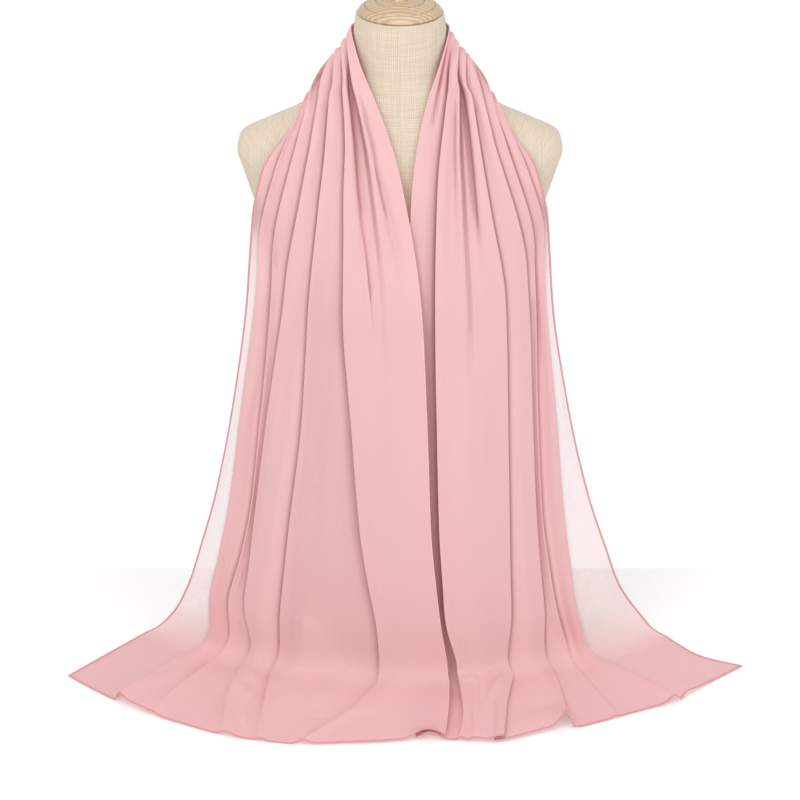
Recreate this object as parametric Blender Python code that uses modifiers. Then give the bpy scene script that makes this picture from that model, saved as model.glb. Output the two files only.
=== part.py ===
"""Chiffon hijab scarf hung round the neck of a limbless linen dress form.

Metres, +Z up. The origin is the centre of the stand's underside, and the front of the
form looks along -Y. The scarf is one rectangle of cloth, modelled as a thin wall in three
stretches. Each stretch is a run of cross-sections, and each cross-section is a chain of
tucked pleats worked out from the fold tables below.
"""

import math
from collections import namedtuple

import bmesh
import bpy
import numpy as np
from mathutils import Vector

MM = 0.001

# ---------------------------------------------------------------- driving sizes
CLOTH_WALL = 1.2 * MM
SEAM_GAP = 0.35 * MM
CLOTH_CLEARANCE = 3.0 * MM
SIDE_ROOM = 8.0 * MM
FORM_GAP = 0.3 * MM

NECK_RIM_HEIGHT = 782 * MM
NECK_TILT_DEG = 5.5
NECK_TILT_START = 720 * MM
TORSO_BOTTOM = 60 * MM
TORSO_SIDES = 40
TORSO_RINGS = 30

BASE_RADIUS = 90 * MM
BASE_THICKNESS = 18 * MM
POST_RADIUS = 16 * MM

# ---------------------------------------------------------------- the dress form
# One row for each height of the torso and neck, in millimetres. "square" is the power of
# the rounded section: 2 is an ellipse, and more is squarer.
Section = namedtuple("Section", "height half_width front back square")
TORSO_SECTIONS = (
    Section(60, 138, 84, 98, 2.3),
    Section(100, 150, 88, 112, 2.3),
    Section(150, 155, 90, 116, 2.3),
    Section(210, 141, 86, 106, 2.3),
    Section(270, 114, 79, 86, 2.2),
    Section(330, 97, 76, 74, 2.2),
    Section(390, 110, 92, 80, 2.2),
    Section(430, 126, 110, 87, 2.25),
    Section(465, 138, 118, 92, 2.3),
    Section(500, 147, 113, 95, 2.5),
    Section(550, 157, 97, 97, 2.8),
    Section(590, 170, 82, 94, 3.0),
    Section(615, 178, 73, 88, 3.0),
    Section(629, 182.5, 67, 84, 2.9),
    Section(643, 180, 62, 79, 2.7),
    Section(658, 153, 58, 73, 2.4),
    Section(672, 122, 54, 68, 2.2),
    Section(684, 100, 52, 64, 2.1),
    Section(692, 84, 51, 60, 2.05),
    Section(700, 69, 50, 56, 2.0),
    Section(709, 58, 49, 53, 2.0),
    Section(722, 53, 48, 51, 2.0),
    Section(745, 51.5, 48, 50.5, 2.0),
    Section(764, 51, 48.5, 50, 2.0),
    Section(782, 48.5, 48, 48, 2.0),
)

# ---------------------------------------------------------------- the hanging cloth
# Where the innermost layer of cloth hangs when the form doesn't hold it forward: its depth
# on the centre line and the radius of its plan curve at each height, in millimetres.
Hang = namedtuple("Hang", "height depth radius")
HANG_ROWS = (
    Hang(80, -107, 430),
    Hang(200, -112, 350),
    Hang(330, -118, 310),
    Hang(480, -121, 280),
    Hang(550, -104, 270),
    Hang(600, -88, 240),
    Hang(660, -52, 190),
    Hang(700, -40, 160),
)
HANG_BLEND = 10 * MM

# The ends spread over the surface like a trumpet, round this centre.
SPREAD_CENTRE_X = 10 * MM
SPREAD_CENTRE_Y = 335 * MM
FOOT_RADIUS = 442 * MM
FOOT_BEND = 28 * MM
HEM_RADIUS = 578 * MM

# Each half has these cross-sections from the back of the neck to the hem. A wrap section
# goes down the form at a plan angle. A front section runs across the front from the first
# height to the last. A floor section is an arc round the spread centre: "first" is how far
# the cloth has turned from hanging to lying, in degrees, and "last" how far it has lain.
# "path" is the place along the cloth, "share" says where the section reads the pleat
# tables (0 neck, 1 yoke, 2 chest, 3 waist, 4 foot, 5 hem), and "rows" is the number of mesh rows
# up to the next section. Lengths are in millimetres.
Station = namedtuple("Station", "name kind path first last share rows")
STATIONS = (
    Station("back", "wrap", 0, 90, 0, 0.0, 2),
    Station("nape", "wrap", 52, 40, 0, 0.0, 3),
    Station("neck", "wrap", 102, 0, 0, 0.0, 3),
    Station("collar", "front", 148, 730, 667, 0.5, 3),
    Station("yoke", "front", 203, 685, 622, 1.0, 4),
    Station("chest", "front", 293, 600, 556, 2.0, 4),
    Station("bust", "front", 418, 480, 470, 2.5, 4),
    Station("waist", "front", 570, 330, 330, 3.0, 3),
    Station("thigh", "front", 700, 200, 200, 3.4, 2),
    Station("knee", "front", 822, 80, 80, 3.8, 2),
    Station("ankle", "floor", 874, 0, 0, 3.95, 1),
    Station("bend", "floor", 896, 45, 0, 4.0, 1),
    Station("touch", "floor", 918, 90, 0, 4.1, 2),
    Station("spread", "floor", 963, 90, 45, 4.55, 3),
    Station("hem", "floor", 1026, 90, 108, 5.0, 1),
)

# Where each fold line runs, from the inner hem to the outer hem. back, nape and neck are
# millimetres down the form from the top edge of the cloth. collar to knee are millimetres
# from the centre line. ankle to hem are degrees round the spread centre.
Line = namedtuple("Line", "name back nape neck collar yoke chest bust waist thigh knee ankle touch spread hem")
LEFT_LINES = (
    Line("inner_hem", 0, 0, 0, -41, -22, 4, 23, 30, 35, 47, 5.8, 5.9, 5.2, 4.1),
    Line("a", 15, 12, 9, -49, -40, -25, -13, -10, -5, 4, 1.4, 1.5, 0.4, -1.5),
    Line("b", 31, 24, 18, -57, -59, -60, -60, -52, -44, -27, -4.4, -4.6, -6.9, -11.7),
    Line("c", 48, 42, 35, -68, -79, -88, -97, -108, -125, -139, -20.0, -20.5, -19.0, -16.5),
    Line("d", 66, 59, 51, -79, -96, -111, -125, -147, -165, -181, -24.7, -25.2, -24.0, -20.4),
    Line("e", 86, 78, 71, -91, -114, -132, -141, -157, -173, -202, -28.8, -29.8, -29.9, -29.8),
    Line("f", 107, 98, 90, -104, -131, -148, -158, -178, -198, -225, -32.7, -34.2, -34.8, -34.6),
    Line("outer_hem", 128, 118, 109, -115, -150, -163, -171, -193, -221, -258, -41.5, -44.6, -44.1, -43.3),
)
RIGHT_LINES = (
    Line("inner_hem", 0, 0, 0, 42, 27, 13, 8, 6, 9, 14, 1.0, 1.0, 0.9, 0.8),
    Line("a", 15, 12, 9, 50, 47, 39, 37, 40, 44, 53, 7.2, 7.3, 7.0, 5.9),
    Line("b", 31, 24, 18, 57, 62, 64, 68, 72, 76, 80, 10.1, 10.2, 9.2, 7.9),
    Line("c", 48, 42, 35, 67, 84, 98, 112, 118, 123, 128, 15.1, 15.4, 13.0, 10.6),
    Line("d", 66, 59, 51, 79, 102, 126, 138, 146, 155, 168, 21.2, 21.6, 20.4, 18.2),
    Line("e", 86, 78, 71, 91, 118, 140, 148, 155, 164, 184, 25.1, 25.6, 25.2, 24.6),
    Line("f", 107, 98, 90, 104, 134, 153, 159, 174, 188, 207, 28.4, 29.6, 31.4, 32.3),
    Line("outer_hem", 128, 119, 110, 116, 149, 163, 170, 194, 226, 268, 40.7, 43.2, 42.6, 44.6),
)

# The pleat at each fold line, in millimetres, at the neck, yoke, chest, waist, foot, hem.
# "lap" is how far the cloth tucks back under the pleat in front, and a negative lap is an
# open trough. "front" is how far the pleat's edge stands off the innermost layer, "back"
# is the same for the inside of the tuck. "toward" is 1 where the pleat in front is on the
# inner side of the line and -1 where it is on the outer side.
Pleat = namedtuple("Pleat", "toward lap front back")
LEFT_PLEATS = (
    Pleat(1, (-6, -5, -8, -10, -10, -10), (6, 12, 11, 13, 11, 3), (3, 3, 4, 13, 11, 3)),
    Pleat(1, (-6, 3, 14, 46, 24, -14), (13, 13, 13, 14, 14, 6), (8, 3, 1, 1, 1, 0)),
    Pleat(1, (-6, 4, 14, 32, 24, -12), (19, 14, 13, 13, 12, 3), (14, 3, 1, 1, 1, 0)),
    Pleat(1, (-6, 4, 12, 24, 13, -12), (22, 15, 13, 13, 13, 6), (18, 4, 1, 1, 1, 0)),
    Pleat(1, (-6, 2, 10, -3, -4, -8), (23, 13, 11, 6, 9, 5), (20, 4, 1, 3, 3, 0)),
    Pleat(1, (-6, -4, -5, 8, 8, -8), (18, 10, 9, 12, 11, 9), (15, 4, 4, 1, 1, 0)),
)
RIGHT_PLEATS = (
    Pleat(-1, (-6, 3, 11, 24, 20, -8), (6, 10, 12, 14, 14, 5), (3, 2, 1, 1, 1, 0)),
    Pleat(1, (-6, -5, -9, -10, -10, -5), (13, 13, 13, 14, 14, 5), (8, 4, 6, 14, 14, 5)),
    Pleat(1, (-6, 3, 12, 40, 30, 11), (19, 14, 14, 14, 14, 9), (14, 3, 1, 1, 1, 0)),
    Pleat(1, (-6, 4, 13, 13, 15, -10), (22, 15, 13, 13, 12, 9), (18, 4, 1, 1, 1, 0)),
    Pleat(1, (-6, 0, 4, -3, -4, -8), (21, 10, 11, 6, 7, 3), (20, 8, 2, 3, 2, 0)),
    Pleat(1, (-6, -4, -5, 8, 8, -10), (18, 10, 9, 12, 11, 6), (15, 4, 4, 1, 1, 0)),
)

# How far the two long hems stand off the innermost layer at the same six places.
LEFT_INNER_LIFT = (1, 5, 6, 13, 12, 8)
RIGHT_INNER_LIFT = (1, 2, 2, 2, 1, 0)
OUTER_LIFT = (3, 3, 4, 3, 2, 0)

# The hem isn't quite a circle: millimetres to add to its radius, by plan angle in degrees.
HEM_ANGLES = (-43.3, -36, -31, -20, -14, -8, -3, 1, 5, 10, 14, 17.5, 20, 28, 33, 36, 44.6)
HEM_REACH = (17, 20, 22, 25, 21, 13, 3, -4, -1, 11, 7, -1, 4, 0, 8, -4, -2)

# Low arches and ridges that the cloth makes where it lies: plan angle in degrees at the
# foot and at the hem, half width and height in millimetres, and how far in from the hem
# the ridge starts, as a share of the lying length.
Ridge = namedtuple("Ridge", "foot_angle hem_angle half_width height start")
RIDGES = (
    Ridge(-29.0, -31.2, 11, 7, 0.0),
    Ridge(-34.6, -34.0, 9, 8, 0.55),
    Ridge(1.0, 2.3, 14, 13, 0.78),
    Ridge(19.0, 18.0, 9, 16, 0.62),
    Ridge(29.2, 32.4, 10, 5, 0.0),
    Ridge(34.0, 34.4, 8, 6, 0.6),
)

# Distance between the layers at a tuck, the change of lap over which a tuck opens into a
# trough, and the place of the row next to each seam, in millimetres.
LAYER_STEP = 4.0
TUCK_RAMP = 14.0
SEAM_MARGIN = 4.0


# ---------------------------------------------------------------- curves through tables
def monotone_slopes(knots, values):
    """Slopes of the smooth curve through a table that never overshoots it."""
    steps = np.diff(knots)
    secants = np.diff(values) / steps
    slopes = np.zeros(len(values))
    slopes[0] = secants[0]
    slopes[-1] = secants[-1]
    for i in range(1, len(values) - 1):
        if secants[i - 1] * secants[i] > 0:
            before = 2 * steps[i] + steps[i - 1]
            after = steps[i] + 2 * steps[i - 1]
            slopes[i] = (before + after) / (before / secants[i - 1] + after / secants[i])
    return slopes


class Table:
    """A smooth curve through rows of (knot, value)."""

    def __init__(self, knots, values):
        self.knots = np.array(knots, dtype=float)
        self.values = np.array(values, dtype=float)
        self.slopes = monotone_slopes(self.knots, self.values)

    def at(self, knot):
        knot = min(max(knot, self.knots[0]), self.knots[-1])
        i = int(np.searchsorted(self.knots, knot, side="right")) - 1
        i = min(max(i, 0), len(self.knots) - 2)
        step = self.knots[i + 1] - self.knots[i]
        t = (knot - self.knots[i]) / step
        a, b = self.values[i], self.values[i + 1]
        slope_a, slope_b = self.slopes[i] * step, self.slopes[i + 1] * step
        return (a * (1 + 2 * t) * (1 - t) ** 2 + slope_a * t * (1 - t) ** 2
                + b * t * t * (3 - 2 * t) + slope_b * t * t * (t - 1))


def smoothstep(value):
    value = min(max(value, 0.0), 1.0)
    return value * value * (3 - 2 * value)


def mix(a, b, share):
    return a + (b - a) * share


# ---------------------------------------------------------------- the form's surface
def section_tables():
    heights = [row.height * MM for row in TORSO_SECTIONS]
    columns = ("half_width", "front", "back")
    tables = {name: Table(heights, [getattr(row, name) * MM for row in TORSO_SECTIONS])
              for name in columns}
    tables["square"] = Table(heights, [row.square for row in TORSO_SECTIONS])
    return tables


SECTIONS = section_tables()


def neck_tilt(y, height):
    """How far the tilted top of the neck lifts a point."""
    share = smoothstep((height - NECK_TILT_START) / (NECK_RIM_HEIGHT - NECK_TILT_START))
    return y * math.tan(math.radians(NECK_TILT_DEG)) * share


def form_point(angle, height):
    """The form's surface at a plan angle, counted from +X towards the back."""
    across, along = math.cos(angle), math.sin(angle)
    depth = SECTIONS["front" if along < 0 else "back"].at(height)
    square = SECTIONS["square"].at(height)
    half_width = SECTIONS["half_width"].at(height)
    radius = (abs(across / half_width) ** square + abs(along / depth) ** square) ** (-1 / square)
    x, y = radius * across, radius * along
    return Vector((x, y, height + neck_tilt(y, height)))


def form_normal(angle, height, reach):
    """The form's outward direction, evened out over the reach above and below."""
    step_angle, step_height = 0.02, reach
    around = form_point(angle + step_angle, height) - form_point(angle - step_angle, height)
    up = form_point(angle, height + step_height) - form_point(angle, height - step_height)
    return around.cross(up).normalized()


def form_front(x, height):
    """Y of the form's front surface, or its middle plane where x is past its side."""
    share = abs(x) / (SECTIONS["half_width"].at(height) + SIDE_ROOM)
    if share >= 1:
        return 0.0
    square = SECTIONS["square"].at(height)
    return -SECTIONS["front"].at(height) * (1 - share ** square) ** (1 / square)


HANG_DEPTH = Table([row.height * MM for row in HANG_ROWS], [row.depth * MM for row in HANG_ROWS])
HANG_RADIUS = Table([row.height * MM for row in HANG_ROWS], [row.radius * MM for row in HANG_ROWS])


def hang_front(x, height):
    """Y of freely hanging cloth."""
    radius = HANG_RADIUS.at(height)
    offset = x - SPREAD_CENTRE_X * max(0.0, 1 - height / 0.5)
    return HANG_DEPTH.at(height) + radius - math.sqrt(radius ** 2 - offset ** 2)


def inner_layer_front(x, height):
    """Y of the innermost layer: on the form, or hanging clear of it, whichever is in front."""
    held = form_front(x, height) - CLOTH_CLEARANCE
    free = hang_front(x, height)
    gap = max(HANG_BLEND - abs(held - free), 0.0) / HANG_BLEND
    return min(held, free) - gap * gap * HANG_BLEND / 4


# ---------------------------------------------------------------- cross-sections
Cut = namedtuple("Cut", "kind first last share edges")


def cuts_of_half(side):
    """The cross-sections of one half by path: each station, and steps between like ones."""
    lines = RIGHT_LINES if side > 0 else LEFT_LINES
    cuts = []
    for kind in ("wrap", "front", "floor"):
        group = [station for station in STATIONS if station.kind == kind]
        knots = [station.path for station in group]
        named = [station for station in group if station.name in Line._fields]
        named_knots = [station.path for station in named]
        edge_tables = [Table(named_knots, [getattr(line, station.name) for station in named])
                       for line in lines]
        first = Table(knots, [station.first for station in group])
        last = Table(knots, [station.last for station in group])
        share = Table(knots, [station.share for station in group])
        for station, after in zip(group, group[1:] + [None]):
            steps = station.rows if after else 1
            for i in range(steps):
                path = mix(station.path, after.path, i / steps) if after else station.path
                edges = [table.at(path) for table in edge_tables]
                cuts.append((path, Cut(kind, first.at(path), last.at(path), share.at(path), edges)))
    return cuts


class WrapPlace:
    """Places cloth down the side or back of the form at one plan angle."""

    STEPS = 160
    TOP = 765 * MM
    LOW = 600 * MM
    REACH = 40 * MM

    def __init__(self, cut, side):
        self.angle = math.radians(cut.first if side > 0 else 180 - cut.first)
        self.outward = 1
        self.edges = cut.edges
        self.heights = [mix(self.TOP, self.LOW, i / self.STEPS) for i in range(self.STEPS + 1)]
        points = [form_point(self.angle, height) for height in self.heights]
        self.travel = [0.0]
        for before, after in zip(points, points[1:]):
            self.travel.append(self.travel[-1] + (after - before).length)

    def point(self, across, lift, order):
        height = float(np.interp(across * MM, self.travel, self.heights))
        offset = CLOTH_CLEARANCE + lift * MM
        return form_point(self.angle, height) + form_normal(self.angle, height, self.REACH) * offset


class FrontPlace:
    """Places cloth across the front, between the cut's two heights."""

    STEP = 5.0 * MM

    def __init__(self, cut, side):
        self.cut = cut
        self.outward = side
        self.edges = cut.edges

    def point(self, across, lift, order):
        x = across * MM
        height = mix(self.cut.first, self.cut.last, order) * MM
        y = inner_layer_front(x, height)
        rise_x = inner_layer_front(x + self.STEP, height) - inner_layer_front(x - self.STEP, height)
        rise_z = inner_layer_front(x, height + self.STEP) - inner_layer_front(x, height - self.STEP)
        normal = Vector((rise_x, -2 * self.STEP, rise_z)).normalized()
        return Vector((x, y, height)) + normal * lift * MM


class FloorPlace:
    """Places cloth round the bend above the surface, and on the surface itself."""

    def __init__(self, cut, side):
        self.outward = side
        self.turn = math.radians(cut.first)
        self.radius = FOOT_RADIUS + FOOT_BEND * (1 - math.cos(self.turn)) + cut.last * MM
        lying = HEM_RADIUS - FOOT_RADIUS - FOOT_BEND
        self.lain = cut.last * MM / lying
        self.edges = [math.radians(degrees) * self.radius / MM for degrees in cut.edges]

    def relief(self, degrees):
        """Height of the ridges and arches of the lying cloth."""
        total = 0.0
        for ridge in RIDGES:
            centre = mix(ridge.foot_angle, ridge.hem_angle, self.lain)
            off = math.radians(degrees - centre) * self.radius / (ridge.half_width * MM)
            grown = smoothstep((self.lain - ridge.start) / (1.0001 - ridge.start))
            total += ridge.height * MM * grown * math.exp(-1.4 * off * off)
        return total

    def point(self, across, lift, order):
        angle = across * MM / self.radius
        degrees = math.degrees(angle)
        reach = float(np.interp(degrees, HEM_ANGLES, HEM_REACH)) * MM * self.lain ** 2
        radius = self.radius + reach + lift * MM * math.cos(self.turn)
        height = CLOTH_WALL / 2 + FOOT_BEND * (1 - math.sin(self.turn))
        height += lift * MM * math.sin(self.turn) + self.relief(degrees)
        return Vector((SPREAD_CENTRE_X + radius * math.sin(angle),
                       SPREAD_CENTRE_Y - radius * math.cos(angle), height))


PLACES = {"wrap": WrapPlace, "front": FrontPlace, "floor": FloorPlace}


def read_row(values, share):
    return float(np.interp(share, range(len(values)), values))


def pleat_chain(edge, inner_gap, outer_gap, outward, pleat, share):
    """Six (across, lift) corners that carry the cloth over one fold line."""
    way = outward * pleat.toward
    pleat_gap = inner_gap if pleat.toward > 0 else outer_gap
    next_gap = outer_gap if pleat.toward > 0 else inner_gap
    front = read_row(pleat.front, share)
    back = read_row(pleat.back, share)
    lap = max(read_row(pleat.lap, share), -0.25 * next_gap)
    tuck = smoothstep(lap / TUCK_RAMP + 0.5)
    depth = front - back
    step = min(LAYER_STEP, depth / 2.6)
    half_turn = min(0.6 * LAYER_STEP, 0.12 * pleat_gap, 0.12 * next_gap) * (1 - tuck)
    inside = edge - way * lap
    crown_at = mix(min(12.0, 0.28 * pleat_gap), 0.35 * pleat_gap, tuck)
    crown_lift = mix(back + 0.35 * depth, back + 0.92 * depth, tuck)
    beyond = mix(max(-lap, 0.0) + min(10.0, 0.3 * next_gap), min(3.0, 0.2 * next_gap), tuck)
    chain = [
        (edge - way * crown_at, crown_lift),
        (edge - way * half_turn, front),
        (edge + way * half_turn, front - step * tuck),
        (inside - way * half_turn, back + step * tuck),
        (inside + way * half_turn, back),
        (edge + way * beyond, back + 0.15 * depth * tuck),
    ]
    return chain if pleat.toward > 0 else chain[::-1]


def section_chain(cut, place, side):
    """(across, lift) of the cloth at one cut, from its inner hem to its outer hem."""
    pleats = RIGHT_PLEATS if side > 0 else LEFT_PLEATS
    inner_lift = RIGHT_INNER_LIFT if side > 0 else LEFT_INNER_LIFT
    edges = place.edges
    chain = [(edges[0], read_row(inner_lift, cut.share))]
    for i, pleat in enumerate(pleats, start=1):
        inner_gap = abs(edges[i] - edges[i - 1])
        outer_gap = abs(edges[i + 1] - edges[i])
        chain += pleat_chain(edges[i], inner_gap, outer_gap, place.outward, pleat, cut.share)
    first, second = chain[0], chain[1]
    chain.insert(1, (mix(first[0], second[0], 0.5), mix(first[1], second[1], 0.5)))
    outer = (edges[-1], read_row(OUTER_LIFT, cut.share))
    before = chain[-1]
    chain.append((mix(before[0], outer[0], 0.5), mix(before[1], outer[1], 0.5)))
    chain.append(outer)
    return chain


def section_points(cut, side):
    place = PLACES[cut.kind](cut, side)
    points = []
    for across, lift in section_chain(cut, place, side):
        order = (across - place.edges[0]) / (place.edges[-1] - place.edges[0])
        points.append(place.point(across, lift, min(max(order, 0.0), 1.0)))
    return [tuple(point) for point in points]


# ---------------------------------------------------------------- rows of the cloth
class Sweep:
    """The smooth surface through all cross-sections, read by path along the cloth."""

    def __init__(self):
        left = [(-path, section_points(cut, -1)) for path, cut in cuts_of_half(-1)]
        right = [(path, section_points(cut, 1)) for path, cut in cuts_of_half(1)]
        sections = left[:0:-1] + right
        self.knots = np.array([path for path, points in sections], dtype=float)
        self.points = np.array([points for path, points in sections])
        steps = np.diff(self.knots)[:, None, None]
        rises = np.diff(self.points, axis=0) / steps
        inner = (rises[:-1] * steps[1:] + rises[1:] * steps[:-1]) / (steps[1:] + steps[:-1])
        self.slopes = np.concatenate((rises[:1], inner, rises[-1:]))

    def row(self, path):
        i = int(np.searchsorted(self.knots, path, side="right")) - 1
        i = min(max(i, 0), len(self.knots) - 2)
        span = self.knots[i + 1] - self.knots[i]
        t = (path - self.knots[i]) / span
        row = (self.points[i] * (1 + 2 * t) * (1 - t) ** 2 + self.slopes[i] * span * t * (1 - t) ** 2
               + self.points[i + 1] * t * t * (3 - 2 * t) + self.slopes[i + 1] * span * t * t * (t - 1))
        row[:, 2] = np.maximum(row[:, 2], CLOTH_WALL / 2)
        return row


def half_paths():
    """The places of the mesh rows along one half."""
    paths = []
    for station, after in zip(STATIONS, STATIONS[1:]):
        paths += [mix(station.path, after.path, i / station.rows) for i in range(station.rows)]
    return paths + [STATIONS[-1].path]


def stretch_paths(start, stop):
    """Row places of one stretch. Its ends at a seam leave half the gap."""
    half = half_paths()
    hem = half[-1]
    seam = next(station.path for station in STATIONS if station.name == "neck")
    paths = [path for path in sorted({-path for path in half} | set(half)) if start < path < stop]
    gap = SEAM_GAP / MM / 2
    for end, inward in ((start, 1), (stop, -1)):
        if abs(end) == seam:
            paths += [end + inward * gap, end + inward * SEAM_MARGIN]
        else:
            paths.append(math.copysign(hem, end))
    return sorted(paths)


# ---------------------------------------------------------------- objects
def clear_scene():
    for obj in list(bpy.data.objects):
        bpy.data.objects.remove(obj, do_unlink=True)


def make_material(name, colour, roughness, metallic=0.0):
    material = bpy.data.materials.new(name)
    material.use_nodes = True
    shader = material.node_tree.nodes["Principled BSDF"]
    shader.inputs["Base Color"].default_value = (*colour, 1)
    shader.inputs["Roughness"].default_value = roughness
    shader.inputs["Metallic"].default_value = metallic
    return material


def add_object(name, mesh, material, collection):
    mesh.materials.append(material)
    obj = bpy.data.objects.new(name, mesh)
    collection.objects.link(obj)
    return obj


def make_cloth(name, rows, material, collection):
    """An open surface through the rows, given its wall by Solidify."""
    mesh = bpy.data.meshes.new(name)
    count = rows.shape[1]
    points = [tuple(point) for row in rows for point in row]
    faces = []
    for i in range(len(rows) - 1):
        for j in range(count - 1):
            corner = i * count + j
            faces.append((corner, corner + 1, corner + count + 1, corner + count))
    mesh.from_pydata(points, [], faces)
    mesh.shade_smooth()
    obj = add_object(name, mesh, material, collection)
    wall = obj.modifiers.new("wall", "SOLIDIFY")
    wall.thickness = CLOTH_WALL
    wall.offset = 0
    return obj


def make_torso(material, collection):
    """Rings of the form's sections, closed flat at the neck and at the bottom."""
    mesh = bpy.data.meshes.new("form_torso")
    shape = bmesh.new()
    rings = []
    table_heights = [row.height * MM for row in TORSO_SECTIONS]
    for i in range(TORSO_RINGS + 1):
        place = i / TORSO_RINGS * (len(table_heights) - 1)
        height = float(np.interp(place, range(len(table_heights)), table_heights))
        ring = []
        for j in range(TORSO_SIDES):
            angle = 2 * math.pi * j / TORSO_SIDES
            ring.append(shape.verts.new(form_point(angle, height)))
        rings.append(ring)
    for lower, upper in zip(rings, rings[1:]):
        for j in range(TORSO_SIDES):
            k = (j + 1) % TORSO_SIDES
            shape.faces.new((lower[j], lower[k], upper[k], upper[j]))
    shape.faces.new(rings[0][::-1])
    shape.faces.new(rings[-1])
    shape.to_mesh(mesh)
    shape.free()
    mesh.shade_smooth()
    mesh.set_sharp_from_angle(angle=math.radians(50))
    return add_object("form_torso", mesh, material, collection)


def make_turned(name, profile, material, collection, steps=28):
    """A turned solid: a profile of (radius, height) from its top down, spun round Z."""
    mesh = bpy.data.meshes.new(name)
    points = [(radius, 0, height) for radius, height in profile]
    edges = [(i, i + 1) for i in range(len(points) - 1)]
    mesh.from_pydata(points, edges, [])
    obj = add_object(name, mesh, material, collection)
    spin = obj.modifiers.new("spin", "SCREW")
    spin.steps = steps
    spin.render_steps = steps
    spin.use_merge_vertices = True
    spin.merge_threshold = 0.00005
    return obj


def arc(centre_radius, centre_height, radius, start_deg, stop_deg, count):
    """Points of a profile arc, by angle from the horizontal."""
    angles = [math.radians(mix(start_deg, stop_deg, i / count)) for i in range(count + 1)]
    return [(centre_radius + radius * math.cos(a), centre_height + radius * math.sin(a)) for a in angles]


# The cap below its knob, as radius and height in millimetres: stem, then a low dome with two
# ring grooves, then its rounded rim.
CAP_PROFILE = (
    (8.0, 43), (7.4, 36), (7.6, 28), (8.6, 21), (11.8, 15.6), (20.0, 14.8), (25.6, 14.0),
    (26.6, 12.4), (27.6, 13.4), (37.8, 9.4), (38.7, 7.6), (39.7, 8.3), (42.8, 6.4), (45.0, 4.6),
    (46.1, 2.6), (46.1, 1.2), (45.2, 0), (0, 0),
)


def make_neck_cap(material, collection):
    """Turned dome with two ring grooves, a stem and a round knob."""
    knob_radius = 15.5 * MM
    knob_height = 59 * MM
    profile = [(0, knob_height + knob_radius)]
    profile += arc(0, knob_height, knob_radius, 78, -52, 9)
    profile += [(radius * MM, height * MM) for radius, height in CAP_PROFILE]
    cap = make_turned("neck_cap", profile, material, collection)
    tilt = math.radians(NECK_TILT_DEG)
    cap.rotation_euler = (tilt, 0, 0)
    cap.location = Vector((0, 0, NECK_RIM_HEIGHT)) + Vector((0, -math.sin(tilt), math.cos(tilt))) * FORM_GAP
    return cap


def make_stand(material, collection):
    post_bottom = BASE_THICKNESS + FORM_GAP
    post_top = TORSO_BOTTOM - FORM_GAP
    post = [(0, post_top), (POST_RADIUS + 3 * MM, post_top), (POST_RADIUS + 3 * MM, post_top - 5 * MM),
            (POST_RADIUS, post_top - 8 * MM), (POST_RADIUS, post_bottom + 8 * MM),
            (POST_RADIUS + 5 * MM, post_bottom), (0, post_bottom)]
    make_turned("stand_post", post, material, collection, steps=24)
    rim = 6 * MM
    base = [(0, BASE_THICKNESS), (BASE_RADIUS - 14 * MM, BASE_THICKNESS)]
    base += arc(BASE_RADIUS - rim, BASE_THICKNESS - rim, rim, 75, 0, 4)
    base += [(BASE_RADIUS, 2 * MM), (BASE_RADIUS - 2 * MM, 0), (0, 0)]
    make_turned("stand_base", base, material, collection, steps=40)


def main():
    clear_scene()
    collection = bpy.data.collections.new("hijab_scarf_on_dress_form")
    bpy.context.scene.collection.children.link(collection)
    chiffon = make_material("chiffon", (0.86, 0.47, 0.48), 0.75)
    linen = make_material("linen", (0.80, 0.70, 0.56), 0.9)
    wood = make_material("wood", (0.72, 0.53, 0.33), 0.4)

    sweep = Sweep()
    hem = STATIONS[-1].path
    seam = next(station.path for station in STATIONS if station.name == "neck")
    for name, start, stop in (("scarf_left_fall", -hem, -seam), ("scarf_neck_band", -seam, seam),
                              ("scarf_right_fall", seam, hem)):
        rows = np.array([sweep.row(path) for path in stretch_paths(start, stop)])
        make_cloth(name, rows, chiffon, collection)
    make_torso(linen, collection)
    make_neck_cap(wood, collection)
    make_stand(wood, collection)


if __name__ == "__main__":
    main()
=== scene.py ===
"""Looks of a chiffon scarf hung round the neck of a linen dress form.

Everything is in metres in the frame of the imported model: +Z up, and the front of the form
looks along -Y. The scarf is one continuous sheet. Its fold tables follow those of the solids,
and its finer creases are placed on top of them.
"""

import math
from collections import namedtuple

import bpy
import numpy as np
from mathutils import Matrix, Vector


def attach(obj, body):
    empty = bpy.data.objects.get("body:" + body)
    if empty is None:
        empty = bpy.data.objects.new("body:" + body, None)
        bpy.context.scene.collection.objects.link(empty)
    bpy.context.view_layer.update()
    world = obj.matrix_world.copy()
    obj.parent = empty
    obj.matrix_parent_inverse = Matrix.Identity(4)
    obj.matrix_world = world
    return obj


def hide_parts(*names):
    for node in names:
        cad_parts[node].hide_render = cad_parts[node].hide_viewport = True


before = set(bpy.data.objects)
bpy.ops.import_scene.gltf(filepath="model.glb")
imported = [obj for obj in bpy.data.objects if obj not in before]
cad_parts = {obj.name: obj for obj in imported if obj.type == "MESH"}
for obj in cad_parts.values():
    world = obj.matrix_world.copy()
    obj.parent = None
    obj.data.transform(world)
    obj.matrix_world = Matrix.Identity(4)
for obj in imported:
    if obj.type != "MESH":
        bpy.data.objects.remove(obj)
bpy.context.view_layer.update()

MM = 0.001

# ---------------------------------------------------------------- driving sizes
# How high the cloth lies over the surface, how far it keeps off the form, how far past the
# form's side it still goes round it, and the cut of the whole cloth.
CLOTH_REST = 0.6 * MM
CLOTH_CLEARANCE = 3.0 * MM
SIDE_ROOM = 8.0 * MM

# The neck's top leans to the front, and the lean starts lower down the neck.
NECK_RIM_HEIGHT = 782 * MM
NECK_TILT_DEG = 5.5
NECK_TILT_START = 720 * MM


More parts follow.
